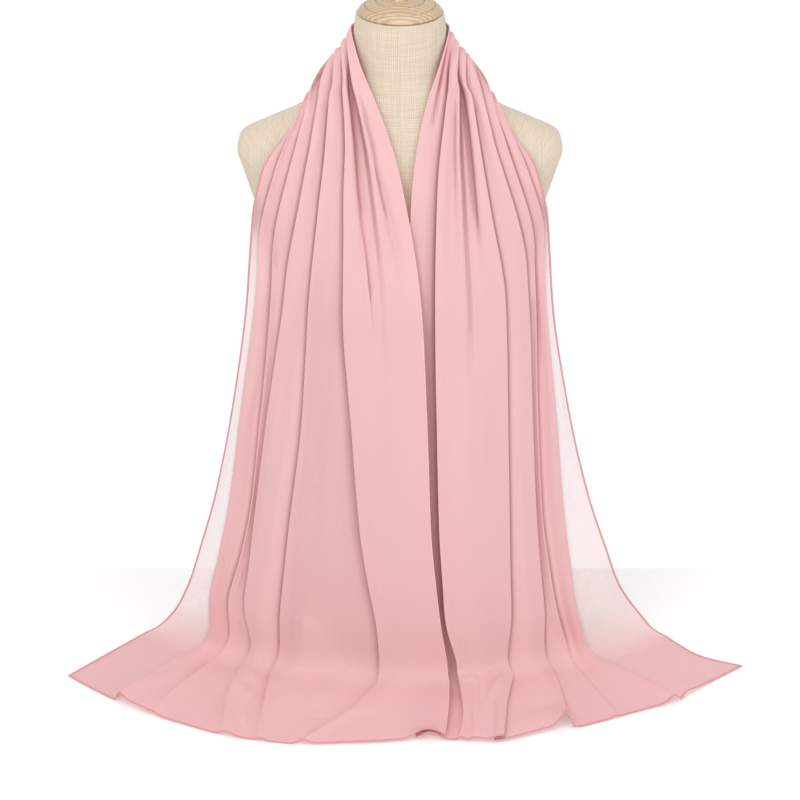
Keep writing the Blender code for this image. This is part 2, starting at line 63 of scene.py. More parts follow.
def rows_of(kind, *rows):
    """A table whose rows all have the columns of one kind."""
    return tuple(kind(*row) for row in rows)


# ---------------------------------------------------------------- the dress form
# One row for each height of the torso and neck, in millimetres. "square" is the power of
# the rounded section: 2 is an ellipse, and more is squarer.
Section = namedtuple("Section", "height half_width front back square")
TORSO_SECTIONS = rows_of(
    Section,
    (60, 138, 84, 98, 2.3),
    (100, 150, 88, 112, 2.3),
    (150, 155, 90, 116, 2.3),
    (210, 141, 86, 106, 2.3),
    (270, 114, 79, 86, 2.2),
    (330, 97, 76, 74, 2.2),
    (390, 110, 92, 80, 2.2),
    (430, 126, 110, 87, 2.25),
    (465, 138, 118, 92, 2.3),
    (500, 147, 113, 95, 2.5),
    (550, 157, 97, 97, 2.8),
    (590, 170, 82, 94, 3.0),
    (615, 178, 73, 88, 3.0),
    (629, 182.5, 67, 84, 2.9),
    (643, 180, 62, 79, 2.7),
    (658, 153, 58, 73, 2.4),
    (672, 122, 54, 68, 2.2),
    (684, 100, 52, 64, 2.1),
    (692, 84, 51, 60, 2.05),
    (700, 69, 50, 56, 2.0),
    (709, 58, 49, 53, 2.0),
    (722, 53, 48, 51, 2.0),
    (745, 51.5, 48, 50.5, 2.0),
    (764, 51, 48.5, 50, 2.0),
    (782, 48.5, 48, 48, 2.0),
)

# ---------------------------------------------------------------- the hanging cloth
# Where the innermost layer of cloth hangs when the form doesn't hold it forward: its depth
# on the centre line and the radius of its plan curve at each height, in millimetres.
Hang = namedtuple("Hang", "height depth radius")
HANG_ROWS = rows_of(
    Hang,
    (80, -107, 430),
    (200, -112, 350),
    (330, -118, 310),
    (480, -121, 280),
    (550, -104, 270),
    (600, -88, 240),
    (660, -52, 190),
    (700, -40, 160),
)
HANG_BLEND = 10 * MM
# Below this height the plan curve's centre moves over to the spread centre.
CENTRED_ABOVE = 500 * MM

# The ends spread over the surface like a trumpet, round this centre.
SPREAD_CENTRE_X = 10 * MM
SPREAD_CENTRE_Y = 335 * MM
FOOT_RADIUS = 442 * MM
FOOT_BEND = 28 * MM
HEM_RADIUS = 578 * MM

# Each half has these cross-sections from the back of the neck to the hem. A wrap section
# goes down the form at a plan angle. A front section runs across the front from the first
# height to the last. A floor section is an arc round the spread centre: "first" is how far
# the cloth has turned from hanging to lying, in degrees, and "last" how far it has lain.
# "path" is the place along the cloth, "share" says where the section reads the pleat
# tables (0 neck, 1 yoke, 2 chest, 3 waist, 4 foot, 5 hem), and "rows" is the number of
# sections up to the next one. Lengths are in millimetres.
Station = namedtuple("Station", "name kind path first last share rows")
STATIONS = rows_of(
    Station,
    ("back", "wrap", 0, 90, 0, 0.0, 2),
    ("nape", "wrap", 52, 40, 0, 0.0, 3),
    ("neck", "wrap", 102, 0, 0, 0.0, 3),
    ("collar", "front", 148, 730, 667, 0.5, 3),
    ("yoke", "front", 203, 685, 622, 1.0, 4),
    ("chest", "front", 293, 600, 556, 2.0, 4),
    ("bust", "front", 418, 480, 470, 2.5, 4),
    ("waist", "front", 570, 330, 330, 3.0, 3),
    ("thigh", "front", 700, 200, 200, 3.4, 2),
    ("knee", "front", 822, 80, 80, 3.8, 2),
    ("ankle", "floor", 874, 0, 0, 3.95, 1),
    ("bend", "floor", 896, 45, 0, 4.0, 1),
    ("touch", "floor", 918, 90, 0, 4.1, 2),
    ("spread", "floor", 963, 90, 45, 4.55, 3),
    ("hem", "floor", 1026, 90, 108, 5.0, 1),
)

# Where each fold line runs, from the inner hem to the outer hem. back, nape and neck are
# millimetres down the form from the top edge of the cloth. collar to knee are millimetres
# from the centre line. ankle to hem are degrees round the spread centre.
Line = namedtuple(
    "Line", "name back nape neck collar yoke chest bust waist thigh knee ankle touch spread hem")
LEFT_LINES = rows_of(
    Line,
    ("inner_hem", 0, 0, 0, -41, -22, 4, 23, 30, 35, 47, 5.8, 5.9, 5.2, 4.1),
    ("a", 15, 12, 9, -49, -40, -25, -13, -10, -5, 4, 1.4, 1.5, 0.4, -1.5),
    ("b", 31, 24, 18, -57, -59, -60, -60, -52, -44, -27, -4.4, -4.6, -6.9, -11.7),
    ("c", 48, 37, 28, -68, -79, -88, -97, -108, -125, -139, -20.0, -20.5, -19.0, -16.5),
    ("d", 66, 51, 39, -79, -96, -111, -125, -147, -165, -181, -24.7, -25.2, -24.0, -20.4),
    ("e", 86, 67, 51, -91, -114, -132, -141, -157, -173, -202, -28.8, -29.8, -29.9, -29.8),
    ("f", 107, 86, 66, -104, -131, -148, -158, -178, -198, -225, -32.7, -34.2, -34.8, -34.6),
    ("outer_hem", 128, 118, 109, -115, -150, -163, -171, -193, -221, -258, -41.5, -44.6, -44.1, -43.3),
)
RIGHT_LINES = rows_of(
    Line,
    ("inner_hem", 0, 0, 0, 42, 27, 13, 8, 6, 9, 14, 1.0, 1.0, 0.9, 0.8),
    ("a", 15, 12, 9, 50, 47, 39, 37, 40, 44, 53, 7.2, 7.3, 7.0, 5.9),
    ("b", 31, 24, 18, 57, 62, 64, 68, 72, 76, 80, 10.1, 10.2, 9.2, 7.9),
    ("c", 48, 37, 28, 67, 84, 98, 112, 118, 123, 128, 15.1, 15.4, 13.0, 10.6),
    ("d", 66, 51, 39, 79, 102, 126, 138, 146, 155, 168, 21.2, 21.6, 20.4, 18.2),
    ("e", 86, 67, 51, 91, 118, 140, 148, 155, 164, 184, 25.1, 25.6, 25.2, 24.6),
    ("f", 107, 86, 66, 104, 134, 153, 159, 174, 188, 207, 28.4, 29.6, 31.4, 32.3),
    ("outer_hem", 128, 119, 110, 116, 149, 163, 170, 194, 226, 268, 40.7, 43.2, 42.6, 44.6),
)

# The pleat at each fold line, in millimetres, at the neck, yoke, chest, waist, foot, hem.
# "lap" is how far the cloth tucks back under the pleat in front, and a negative lap is an
# open trough. "front" is how far the pleat's edge stands off the innermost layer, "back"
# is the same for the inside of the tuck. "toward" is 1 where the pleat in front is on the
# inner side of the line and -1 where it is on the outer side.
Pleat = namedtuple("Pleat", "toward lap front back")
LEFT_PLEATS = rows_of(
    Pleat,
    (1, (-4, -5, -7, -10, -10, -10), (5, 13, 11, 13, 11, 3), (1, 3, 4, 13, 11, 3)),
    (1, (-1, 7, 14, 46, 24, -14), (11, 13, 13, 14, 14, 6), (7, 3, 1, 1, 1, 0)),
    (1, (-1, 7, 14, 32, 24, -12), (18, 14, 13, 13, 12, 3), (15, 3, 1, 1, 1, 0)),
    (1, (-1, 6, 12, 24, 13, -12), (23, 15, 13, 13, 13, 6), (20, 4, 1, 1, 1, 0)),
    (1, (-1, 4, 10, -3, -4, -8), (26, 13, 11, 6, 9, 5), (23, 4, 1, 3, 3, 0)),
    (1, (-3, -2, -5, 8, 8, -8), (19, 10, 9, 12, 11, 9), (16, 4, 4, 1, 1, 0)),
)
RIGHT_PLEATS = rows_of(
    Pleat,
    (-1, (-1, 7, 11, 24, 20, -8), (6, 10, 12, 14, 14, 5), (1, 2, 1, -5, -5, 0)),
    (1, (-4, -6, -9, -10, -10, -5), (11, 13, 13, 14, 14, 5), (5, 3, 5, 14, 14, 5)),
    (1, (-1, 7, 12, 40, 30, 11), (18, 14, 14, 14, 14, 9), (15, 3, 1, 1, 1, 0)),
    (1, (-1, 7, 13, 13, 15, -10), (23, 15, 13, 13, 12, 9), (20, 4, 1, 1, 1, 0)),
    (1, (-1, 4, 4, -3, -4, -8), (26, 12, 11, 6, 7, 3), (23, 5, 2, 3, 2, 0)),
    (1, (-3, -2, -5, 8, 8, -10), (19, 10, 9, 12, 11, 6), (16, 4, 4, 1, 1, 0)),
)

# How far the two long hems stand off the innermost layer at the same six places.
LEFT_INNER_LIFT = (0, 5, 6, 13, 12, 8)
RIGHT_INNER_LIFT = (0, 2, 2, -6, -6, 0)
OUTER_LIFT = (3, 3, 4, 3, 2, 0)

# The hem isn't quite a circle: millimetres to add to its radius, by plan angle in degrees.
HEM_ANGLES = (-43.3, -36, -31, -20, -14, -8, -3, 1, 5, 10, 14, 17.5, 20, 28, 33, 36, 44.6)
HEM_REACH = (17, 20, 22, 25, 21, 13, 3, -4, -1, 11, 7, -1, 4, 0, 8, -4, -2)

# Low arches and ridges that the cloth makes where it lies: plan angle in degrees at the
# foot and at the hem, half width and height in millimetres, and how far in from the hem
# the ridge starts, as a share of the lying length.
Ridge = namedtuple("Ridge", "foot_angle hem_angle half_width height start")
RIDGES = rows_of(
    Ridge,
    (-29.0, -31.2, 11, 7, 0.0),
    (-34.6, -34.0, 9, 8, 0.55),
    (1.0, 2.3, 14, 13, 0.78),
    (19.0, 18.0, 9, 16, 0.62),
    (29.2, 32.4, 10, 5, 0.0),
    (34.0, 34.4, 8, 6, 0.6),
)
RIDGE_SHARPNESS = 1.4

# Distance between the layers at a tuck, the change of lap over which a tuck opens into a
# trough, and the most that a tuck's inside lies behind its pleat, in millimetres.
LAYER_STEP = 1.6
TUCK_RAMP = 14.0
PLEAT_DEPTH = 6.0

# The form of one pleat. A trough takes at most this share of the gap to the next line, and a
# tuck's layers keep apart by their depth over STEPS_IN_DEPTH. The turn at the edge is a share
# of the layers' distance or of a gap. The pleat's crown lies at a share of its gap, first for
# a trough and then for a tuck, and at a share of the pleat's depth. Beyond the edge the cloth
# comes down within a reach in millimetres or a share of the next gap.
TROUGH_SHARE = 0.25
STEPS_IN_DEPTH = 2.6
TURN_OF_STEP = 0.6
TURN_OF_GAP = 0.12
TROUGH_CROWN_REACH = 12.0
CROWN_OF_GAP = (0.28, 0.35)
CROWN_HEIGHT = (0.35, 0.92)
BEYOND_REACH = (10.0, 3.0)
BEYOND_OF_GAP = (0.3, 0.2)
BEYOND_HEIGHT = 0.15

# The deepest layer of all, in millimetres of lift, and the share of its height over that
# layer that one below the innermost layer keeps where it lies on the surface.
DEEPEST_LIFT = -6
LYING_LAYER = 0.1

# ---------------------------------------------------------------- the finer creases
# A crease runs along the cloth from one path to another, in millimetres. Its place across
# is counted in fold lines, at its start, middle and end: 0 is the inner hem, 1 is line a,
# 2.5 is halfway from b to c, and 7 is the outer hem. A ridge has a height above 0 and a
# trough one below it, with their half width, both in millimetres.
Crease = namedtuple("Crease", "start stop at_start at_middle at_stop half_width height")
LEFT_CREASES = rows_of(
    Crease,
    (92, 320, 1.17, 1.13, 1.15, 2.6, -5.0),
    (240, 460, 1.15, 1.13, 1.20, 5, -2.6),
    (225, 410, 0.86, 0.58, 0.36, 4, -4.0),
    (215, 330, 0.92, 0.82, 0.66, 4, 1.6),
    (300, 560, 0.45, 0.62, 0.75, 9, 1.6),
    (240, 470, 1.35, 1.30, 1.22, 7, 1.2),
    (300, 620, 1.62, 1.50, 1.42, 10, -0.9),
    (470, 900, 1.40, 1.45, 1.38, 16, 1.3),
    (600, 925, 1.78, 1.76, 1.70, 11, -1.0),
    (250, 420, 2.55, 2.50, 2.45, 6, -1.0),
    (430, 845, 2.50, 2.48, 2.44, 8, 1.7),
    (500, 870, 2.28, 2.24, 2.22, 8, -1.5),
    (520, 880, 2.70, 2.68, 2.64, 9, -1.7),
    (560, 905, 2.88, 2.85, 2.80, 6, 1.4),
    (640, 890, 2.36, 2.37, 2.34, 6, 1.1),
    (330, 720, 3.45, 3.50, 3.55, 8, -1.4),
    (420, 820, 3.72, 3.74, 3.70, 7, 1.3),
    (240, 480, 4.55, 4.50, 4.45, 6, 1.1),
    (520, 860, 4.60, 4.52, 4.45, 6, -1.2),
    (330, 600, 5.52, 5.48, 5.42, 4, 1.3),
    (620, 850, 5.60, 5.55, 5.50, 5, -0.9),
    (560, 900, 6.45, 6.52, 6.60, 9, 1.2),
)
RIGHT_CREASES = rows_of(
    Crease,
    (250, 560, 0.48, 0.52, 0.50, 7, 1.0),
    (92, 235, 0.78, 0.62, 0.45, 2.2, -5.0),
    (125, 330, 2.16, 2.13, 2.18, 3.0, -5.5),
    (220, 400, 1.60, 1.52, 1.42, 5, -1.4),
    (230, 430, 2.42, 2.38, 2.30, 8, 1.2),
    (330, 700, 2.62, 2.60, 2.58, 11, -1.0),
    (450, 880, 2.32, 2.34, 2.36, 12, 1.1),
    (600, 900, 2.75, 2.74, 2.70, 10, 0.9),
    (440, 900, 1.55, 1.52, 1.50, 9, -0.9),
    (300, 620, 3.45, 3.50, 3.52, 7, 1.2),
    (560, 870, 3.50, 3.55, 3.60, 7, -1.2),
    (280, 560, 4.50, 4.46, 4.42, 5, 1.1),
    (520, 840, 4.55, 4.52, 4.50, 6, -1.0),
    (150, 260, 5.35, 5.45, 5.50, 6, 2.2),
    (330, 560, 5.45, 5.50, 5.55, 5, -1.0),
    (480, 640, 6.40, 6.48, 6.52, 6, 1.4),
    (700, 900, 6.35, 6.45, 6.50, 8, 1.3),
)
BACK_CREASES = rows_of(
    Crease,
    (-210, 190, 0.45, 0.50, 0.48, 3.5, 0.9),
    (-160, 215, 1.50, 1.46, 1.52, 3.5, 1.0),
    (-225, 120, 2.52, 2.48, 2.50, 4.0, -1.0),
    (-130, 235, 3.48, 3.54, 3.50, 4.5, 1.1),
    (-240, 150, 4.50, 4.45, 4.52, 4.5, -1.1),
    (-190, 205, 5.52, 5.48, 5.50, 5.0, 1.2),
    (-140, 165, 6.42, 6.50, 6.46, 5.0, -0.9),
)

# Share of a crease's or fold's length over which it fades at each end.
CREASE_FADE = 0.3

# A fold of the lying cloth runs on a curve through three places. Each is a plan angle round
# the spread centre, in degrees, and a distance from it, in millimetres. "left" and "right"
# are the half widths of its sides for someone who walks it from start to stop.
Fold = namedtuple("Fold", "start middle stop left right height")
FLOOR_FOLDS = rows_of(
    Fold,
    ((-30.0, 430), (-30.2, 512), (-32.2, 590), 4, 17, 6.5),
    ((-30.6, 488), (-33.0, 536), (-35.2, 590), 4, 12, 5.0),
    ((-35.9, 450), (-35.8, 521), (-35.2, 592), 6, 6, 2.2),
    ((-26.2, 462), (-24.0, 503), (-20.8, 528), 12, 3, 5.0),
    ((-22.2, 500), (-20.8, 540), (-18.3, 588), 6, 5, 4.0),
    ((-25.0, 430), (-23.2, 470), (-21.6, 506), 12, 3, 4.0),
    ((-8.2, 440), (-10.6, 490), (-12.3, 540), 4, 15, 8.0),
    ((-12.0, 512), (-12.0, 552), (-11.0, 600), 6, 9, 4.5),
    ((6.2, 469), (10.8, 465), (16.2, 461), 4, 8, 3.0),
    ((15.8, 460), (11.0, 500), (8.2, 552), 4, 17, 6.5),
    ((8.4, 520), (8.0, 556), (8.6, 598), 5, 7, 3.5),
    ((29.2, 436), (30.8, 492), (33.4, 588), 4, 13, 4.0),
    ((34.0, 446), (34.8, 515), (35.2, 590), 6, 8, 3.0),
    ((21.9, 446), (20.3, 510), (18.6, 594), 9, 5, 5.0),
    ((25.4, 452), (26.0, 500), (26.6, 560), 14, 10, 1.6),
    ((-16.6, 470), (-16.2, 520), (-15.6, 580), 14, 12, 1.8),
)

# Points of a fold's curve, how sharp its crest is, and the height over which it fades from
# the lying cloth to the hanging cloth.
FOLD_SAMPLES = 24
FOLD_SHARPNESS = 1.3
FOLD_CEILING = 26 * MM

# ---------------------------------------------------------------- how dense the chiffon looks
# Share of what is behind it that the cloth hides, by place in fold lines, where it hangs and
# where it lies. The falls hide further layers behind their pleats, and the strip outside line
# f is a single layer. The cloth is dense at the neck and thins between the THINNING paths. It
# takes its lying cover between the LYING paths.
DENSE = 1.0
COVER_PLACES = (0.0, 2.05, 2.2, 2.85, 3.0, 6.0, 6.03, 7.0)
LEFT_COVER_HANGING = (DENSE, DENSE, 0.91, 0.91, DENSE, DENSE, 0.34, 0.34)
LEFT_COVER_LYING = (DENSE, DENSE, DENSE, DENSE, DENSE, DENSE, 0.88, 0.84)
RIGHT_COVER_HANGING = (DENSE, DENSE, DENSE, DENSE, DENSE, DENSE, 0.34, 0.34)
RIGHT_COVER_LYING = (DENSE, DENSE, DENSE, DENSE, DENSE, 0.95, 0.80, 0.76)
THINNING_STARTS = 240
THINNING_ENDS = 420
LYING_STARTS = 830
LYING_ENDS = 930

# A see-through slit close beside line c of the left fall: its paths, its place in fold lines,
# its half width and the width of its soft edge in millimetres, its cover, and the steps of the
# mesh there.
SLIT_START = 470
SLIT_STOP = 590
SLIT_PLACE = 3.14
SLIT_HALF_WIDTH = 3.0
SLIT_EDGE = 1.2
SLIT_COVER = 0.05
SLIT_STEPS = 9

# Painted shade: the colour deepens in the hollow beside a pleat, for the shadow there and partly
# for the doubled cloth. How far sideways and how far behind the pleat that reaches, its share,
# and the paths between which the cloth hangs.
PAINTED_SHADE_REACH = 4.5 * MM
PAINTED_SHADE_DEPTH = 2.2 * MM
PAINTED_SHADE_SHARE = 0.75
PAINTED_SHADE_STARTS = 100
PAINTED_SHADE_ENDS = 900
PAINTED_SHADE_FADE = 50

# ---------------------------------------------------------------- mesh sizes
# Spacing of the rows along the cloth up to each path, and of the columns across it, in
# millimetres.
ROW_SPACINGS = ((120, 6.5), (300, 5.5), (850, 7.5), (918, 5.0), (STATIONS[-1].path, 2.9))
COLUMN_SPACING = 4.0

TORSO_SIDES = 168
TURNED_SIDES = 144


# ---------------------------------------------------------------- curves through tables
def monotone_slopes(knots, values):
    """Slopes of the smooth curve through a table that never overshoots it."""
    steps = np.diff(knots)
    secants = np.diff(values) / steps
    slopes = np.zeros(len(values))
    slopes[0] = secants[0]
    slopes[-1] = secants[-1]
    for i in range(1, len(values) - 1):
        if secants[i - 1] * secants[i] > 0:
            before = 2 * steps[i] + steps[i - 1]
            after = steps[i] + 2 * steps[i - 1]
            slopes[i] = (before + after) / (before / secants[i - 1] + after / secants[i])
    return slopes


class Table:
    """A smooth curve through rows of (knot, value)."""

    def __init__(self, knots, values):
        self.knots = np.array(knots, dtype=float)
        self.values = np.array(values, dtype=float)
        self.slopes = monotone_slopes(self.knots, self.values)

    def at(self, knot):
        knot = min(max(knot, self.knots[0]), self.knots[-1])
        i = int(np.searchsorted(self.knots, knot, side="right")) - 1
        i = min(max(i, 0), len(self.knots) - 2)
        step = self.knots[i + 1] - self.knots[i]
        t = (knot - self.knots[i]) / step
        return hermite(self.values[i], self.values[i + 1],
                       self.slopes[i] * step, self.slopes[i + 1] * step, t)


def smoothstep(value):
    value = np.clip(value, 0.0, 1.0)
    return value * value * (3 - 2 * value)


def mix(a, b, share):
    return a + (b - a) * share


def hermite(a, b, slope_a, slope_b, t):
    """The curve from a to b with these slopes at its ends."""
    return (a * (1 + 2 * t) * (1 - t) ** 2 + slope_a * t * (1 - t) ** 2
            + b * t * t * (3 - 2 * t) + slope_b * t * t * (t - 1))


def through(start, middle, stop, t):
    """The curve through three values at t = 0, 0.5 and 1."""
    return start * (1 - t) * (1 - 2 * t) + middle * 4 * t * (1 - t) + stop * t * (2 * t - 1)


def faded(t):
    """1 along the middle of a crease, sinking to 0 at its ends."""
    return smoothstep(t / CREASE_FADE) * smoothstep((1 - t) / CREASE_FADE)


# ---------------------------------------------------------------- the form's surface
def section_tables():
    heights = [row.height * MM for row in TORSO_SECTIONS]
    columns = ("half_width", "front", "back")
    tables = {name: Table(heights, [getattr(row, name) * MM for row in TORSO_SECTIONS])
              for name in columns}
    tables["square"] = Table(heights, [row.square for row in TORSO_SECTIONS])
    return tables


SECTIONS = section_tables()


def neck_tilt(y, height):
    """How far the tilted top of the neck lifts a point."""
    share = smoothstep((height - NECK_TILT_START) / (NECK_RIM_HEIGHT - NECK_TILT_START))
    return y * math.tan(math.radians(NECK_TILT_DEG)) * share


def form_point(angle, height):
    """The form's surface at a plan angle, counted from +X towards the back."""
    across, along = math.cos(angle), math.sin(angle)
    depth = SECTIONS["front" if along < 0 else "back"].at(height)
    square = SECTIONS["square"].at(height)
    half_width = SECTIONS["half_width"].at(height)
    radius = (abs(across / half_width) ** square + abs(along / depth) ** square) ** (-1 / square)
    x, y = radius * across, radius * along
    return Vector((x, y, height + neck_tilt(y, height)))


def form_normal(angle, height, reach):
    """The form's outward direction, evened out over the reach above and below."""
    turn = 0.02
    around = form_point(angle + turn, height) - form_point(angle - turn, height)
    up = form_point(angle, height + reach) - form_point(angle, height - reach)
    return around.cross(up).normalized()


def form_front(x, height):
    """Y of the form's front surface, or its middle plane where x is past its side."""
    share = abs(x) / (SECTIONS["half_width"].at(height) + SIDE_ROOM)
    if share >= 1:
        return 0.0
    square = SECTIONS["square"].at(height)
    return -SECTIONS["front"].at(height) * (1 - share ** square) ** (1 / square)


HANG_DEPTH = Table([row.height * MM for row in HANG_ROWS], [row.depth * MM for row in HANG_ROWS])
HANG_RADIUS = Table([row.height * MM for row in HANG_ROWS], [row.radius * MM for row in HANG_ROWS])


def hang_front(x, height):
    """Y of freely hanging cloth."""
    radius = HANG_RADIUS.at(height)
    offset = x - SPREAD_CENTRE_X * max(0.0, 1 - height / CENTRED_ABOVE)
    return HANG_DEPTH.at(height) + radius - math.sqrt(radius ** 2 - offset ** 2)


def inner_layer_front(x, height):
    """Y of the innermost layer: on the form, or hanging clear of it, whichever is in front."""
    held = form_front(x, height) - CLOTH_CLEARANCE
    free = hang_front(x, height)
    gap = max(HANG_BLEND - abs(held - free), 0.0) / HANG_BLEND
    return min(held, free) - gap * gap * HANG_BLEND / 4


# ---------------------------------------------------------------- cross-sections
Cut = namedtuple("Cut", "kind first last share edges")


def cuts_of_half(side):
    """The cross-sections of one half by path: each station, and steps between like ones."""
    lines = RIGHT_LINES if side > 0 else LEFT_LINES
    cuts = []
    for kind in ("wrap", "front", "floor"):
        group = [station for station in STATIONS if station.kind == kind]
        knots = [station.path for station in group]
        named = [station for station in group if station.name in Line._fields]
        named_knots = [station.path for station in named]
        edge_tables = [Table(named_knots, [getattr(line, station.name) for station in named])
                       for line in lines]
        first = Table(knots, [station.first for station in group])
        last = Table(knots, [station.last for station in group])
        share = Table(knots, [station.share for station in group])
        for station, after in zip(group, group[1:] + [None]):
            steps = station.rows if after else 1
            for i in range(steps):
                path = mix(station.path, after.path, i / steps) if after else station.path
                edges = [table.at(path) for table in edge_tables]
                cuts.append((path, Cut(kind, first.at(path), last.at(path), share.at(path), edges)))
    return cuts


class WrapPlace:
    """Places cloth down the side or back of the form at one plan angle."""

    STEPS = 160
    TOP = 765 * MM
    LOW = 600 * MM
    REACH = 20 * MM

    def __init__(self, cut, side):
        self.angle = math.radians(cut.first if side > 0 else 180 - cut.first)
        self.outward = 1
        self.edges = cut.edges
        self.heights = [mix(self.TOP, self.LOW, i / self.STEPS) for i in range(self.STEPS + 1)]
        points = [form_point(self.angle, height) for height in self.heights]
        self.travel = [0.0]
        for before, after in zip(points, points[1:]):
            self.travel.append(self.travel[-1] + (after - before).length)

    def point(self, across, lift, order):
        height = float(np.interp(across * MM, self.travel, self.heights))
        offset = CLOTH_CLEARANCE + lift * MM
        return form_point(self.angle, height) + form_normal(self.angle, height, self.REACH) * offset


class FrontPlace:
    """Places cloth across the front, between the cut's two heights."""

    STEP = 5.0 * MM

    def __init__(self, cut, side):
        self.cut = cut
        self.outward = side
        self.edges = cut.edges

    def point(self, across, lift, order):
        x = across * MM
        height = mix(self.cut.first, self.cut.last, order) * MM
        y = inner_layer_front(x, height)
        rise_x = inner_layer_front(x + self.STEP, height) - inner_layer_front(x - self.STEP, height)
        rise_z = inner_layer_front(x, height + self.STEP) - inner_layer_front(x, height - self.STEP)
        normal = Vector((rise_x, -2 * self.STEP, rise_z)).normalized()
        return Vector((x, y, height)) + normal * lift * MM


class FloorPlace:
    """Places cloth round the bend above the surface, and on the surface itself."""

    def __init__(self, cut, side):
        self.outward = side
        self.turn = math.radians(cut.first)
        self.radius = FOOT_RADIUS + FOOT_BEND * (1 - math.cos(self.turn)) + cut.last * MM
        lying = HEM_RADIUS - FOOT_RADIUS - FOOT_BEND
        self.lain = cut.last * MM / lying
        self.edges = [math.radians(degrees) * self.radius / MM for degrees in cut.edges]

    def relief(self, degrees):
        """Height of the ridges and arches of the lying cloth."""
        total = 0.0
        for ridge in RIDGES:
            centre = mix(ridge.foot_angle, ridge.hem_angle, self.lain)
            off = math.radians(degrees - centre) * self.radius / (ridge.half_width * MM)
            grown = smoothstep((self.lain - ridge.start) / (1.0001 - ridge.start))
            total += ridge.height * MM * grown * math.exp(-RIDGE_SHARPNESS * off * off)
        return total

    def point(self, across, lift, order):
        angle = across * MM / self.radius
        degrees = math.degrees(angle)
        reach = float(np.interp(degrees, HEM_ANGLES, HEM_REACH)) * MM * self.lain ** 2
        radius = self.radius + reach + lift * MM * math.cos(self.turn)
        height = CLOTH_REST + FOOT_BEND * (1 - math.sin(self.turn))
        rise = max(lift, LYING_LAYER * (lift - DEEPEST_LIFT))
        height += rise * MM * math.sin(self.turn) + self.relief(degrees)
        return Vector((SPREAD_CENTRE_X + radius * math.sin(angle),
                       SPREAD_CENTRE_Y - radius * math.cos(angle), height))


PLACES = {"wrap": WrapPlace, "front": FrontPlace, "floor": FloorPlace}


def read_row(values, share):
    return float(np.interp(share, range(len(values)), values))


def pleat_chain(edge, inner_gap, outer_gap, outward, pleat, share):
    """Six (across, lift) corners that carry the cloth over one fold line."""
    way = outward * pleat.toward
    pleat_gap = inner_gap if pleat.toward > 0 else outer_gap
    next_gap = outer_gap if pleat.toward > 0 else inner_gap
    front = read_row(pleat.front, share)
    back = read_row(pleat.back, share)
    lap = max(read_row(pleat.lap, share), -TROUGH_SHARE * next_gap)
    tuck = smoothstep(lap / TUCK_RAMP + 0.5)
    if pleat.toward > 0:
        back = mix(back, max(back, front - PLEAT_DEPTH), tuck)
    depth = front - back
    step = min(LAYER_STEP, depth / STEPS_IN_DEPTH)
    half_turn = min(TURN_OF_STEP * LAYER_STEP, TURN_OF_GAP * pleat_gap, TURN_OF_GAP * next_gap) * (1 - tuck)
    inside = edge - way * lap
    crown_at = mix(min(TROUGH_CROWN_REACH, CROWN_OF_GAP[0] * pleat_gap), CROWN_OF_GAP[1] * pleat_gap, tuck)
    crown_lift = mix(back + CROWN_HEIGHT[0] * depth, back + CROWN_HEIGHT[1] * depth, tuck)
    comes_down = [min(reach, of_gap * next_gap) for reach, of_gap in zip(BEYOND_REACH, BEYOND_OF_GAP)]
    beyond = mix(max(-lap, 0.0) + comes_down[0], comes_down[1], tuck)
    chain = [
        (edge - way * crown_at, crown_lift),
        (edge - way * half_turn, front),
        (edge + way * half_turn, front - step * tuck),
        (inside - way * half_turn, back + step * tuck),
        (inside + way * half_turn, back),
        (edge + way * beyond, back + BEYOND_HEIGHT * depth * tuck),
    ]
    return chain if pleat.toward > 0 else chain[::-1]


def section_chain(cut, place, side):
    """(across, lift) of the cloth at one cut, from its inner hem to its outer hem."""
    pleats = RIGHT_PLEATS if side > 0 else LEFT_PLEATS
    inner_lift = RIGHT_INNER_LIFT if side > 0 else LEFT_INNER_LIFT
    edges = place.edges
    chain = [(edges[0], read_row(inner_lift, cut.share))]
    for i, pleat in enumerate(pleats, start=1):
        inner_gap = abs(edges[i] - edges[i - 1])
        outer_gap = abs(edges[i + 1] - edges[i])
        chain += pleat_chain(edges[i], inner_gap, outer_gap, place.outward, pleat, cut.share)
    first, second = chain[0], chain[1]
    chain.insert(1, (mix(first[0], second[0], 0.5), mix(first[1], second[1], 0.5)))
    outer = (edges[-1], read_row(OUTER_LIFT, cut.share))
    before = chain[-1]
    chain.append((mix(before[0], outer[0], 0.5), mix(before[1], outer[1], 0.5)))
    chain.append(outer)
    return chain


def section_points(cut, side):
    place = PLACES[cut.kind](cut, side)
    points = []
    for across, lift in section_chain(cut, place, side):
        order = (across - place.edges[0]) / (place.edges[-1] - place.edges[0])
        points.append(place.point(across, lift, min(max(order, 0.0), 1.0)))
    return [tuple(point) for point in points]


class Sweep:
    """The smooth surface through all cross-sections, read by path along the cloth."""

    def __init__(self):
        left = [(-path, section_points(cut, -1)) for path, cut in cuts_of_half(-1)]
        right = [(path, section_points(cut, 1)) for path, cut in cuts_of_half(1)]
        sections = left[:0:-1] + right
        self.knots = np.array([path for path, points in sections], dtype=float)
        self.points = np.array([points for path, points in sections])
        steps = np.diff(self.knots)[:, None, None]
        rises = np.diff(self.points, axis=0) / steps
        inner = (rises[:-1] * steps[1:] + rises[1:] * steps[:-1]) / (steps[1:] + steps[:-1])
        self.slopes = np.concatenate((rises[:1], inner, rises[-1:]))

    def row(self, path):
        i = int(np.searchsorted(self.knots, path, side="right")) - 1
        i = min(max(i, 0), len(self.knots) - 2)
        span = self.knots[i + 1] - self.knots[i]
        t = (path - self.knots[i]) / span
        return hermite(self.points[i], self.points[i + 1],
                       self.slopes[i] * span, self.slopes[i + 1] * span, t)


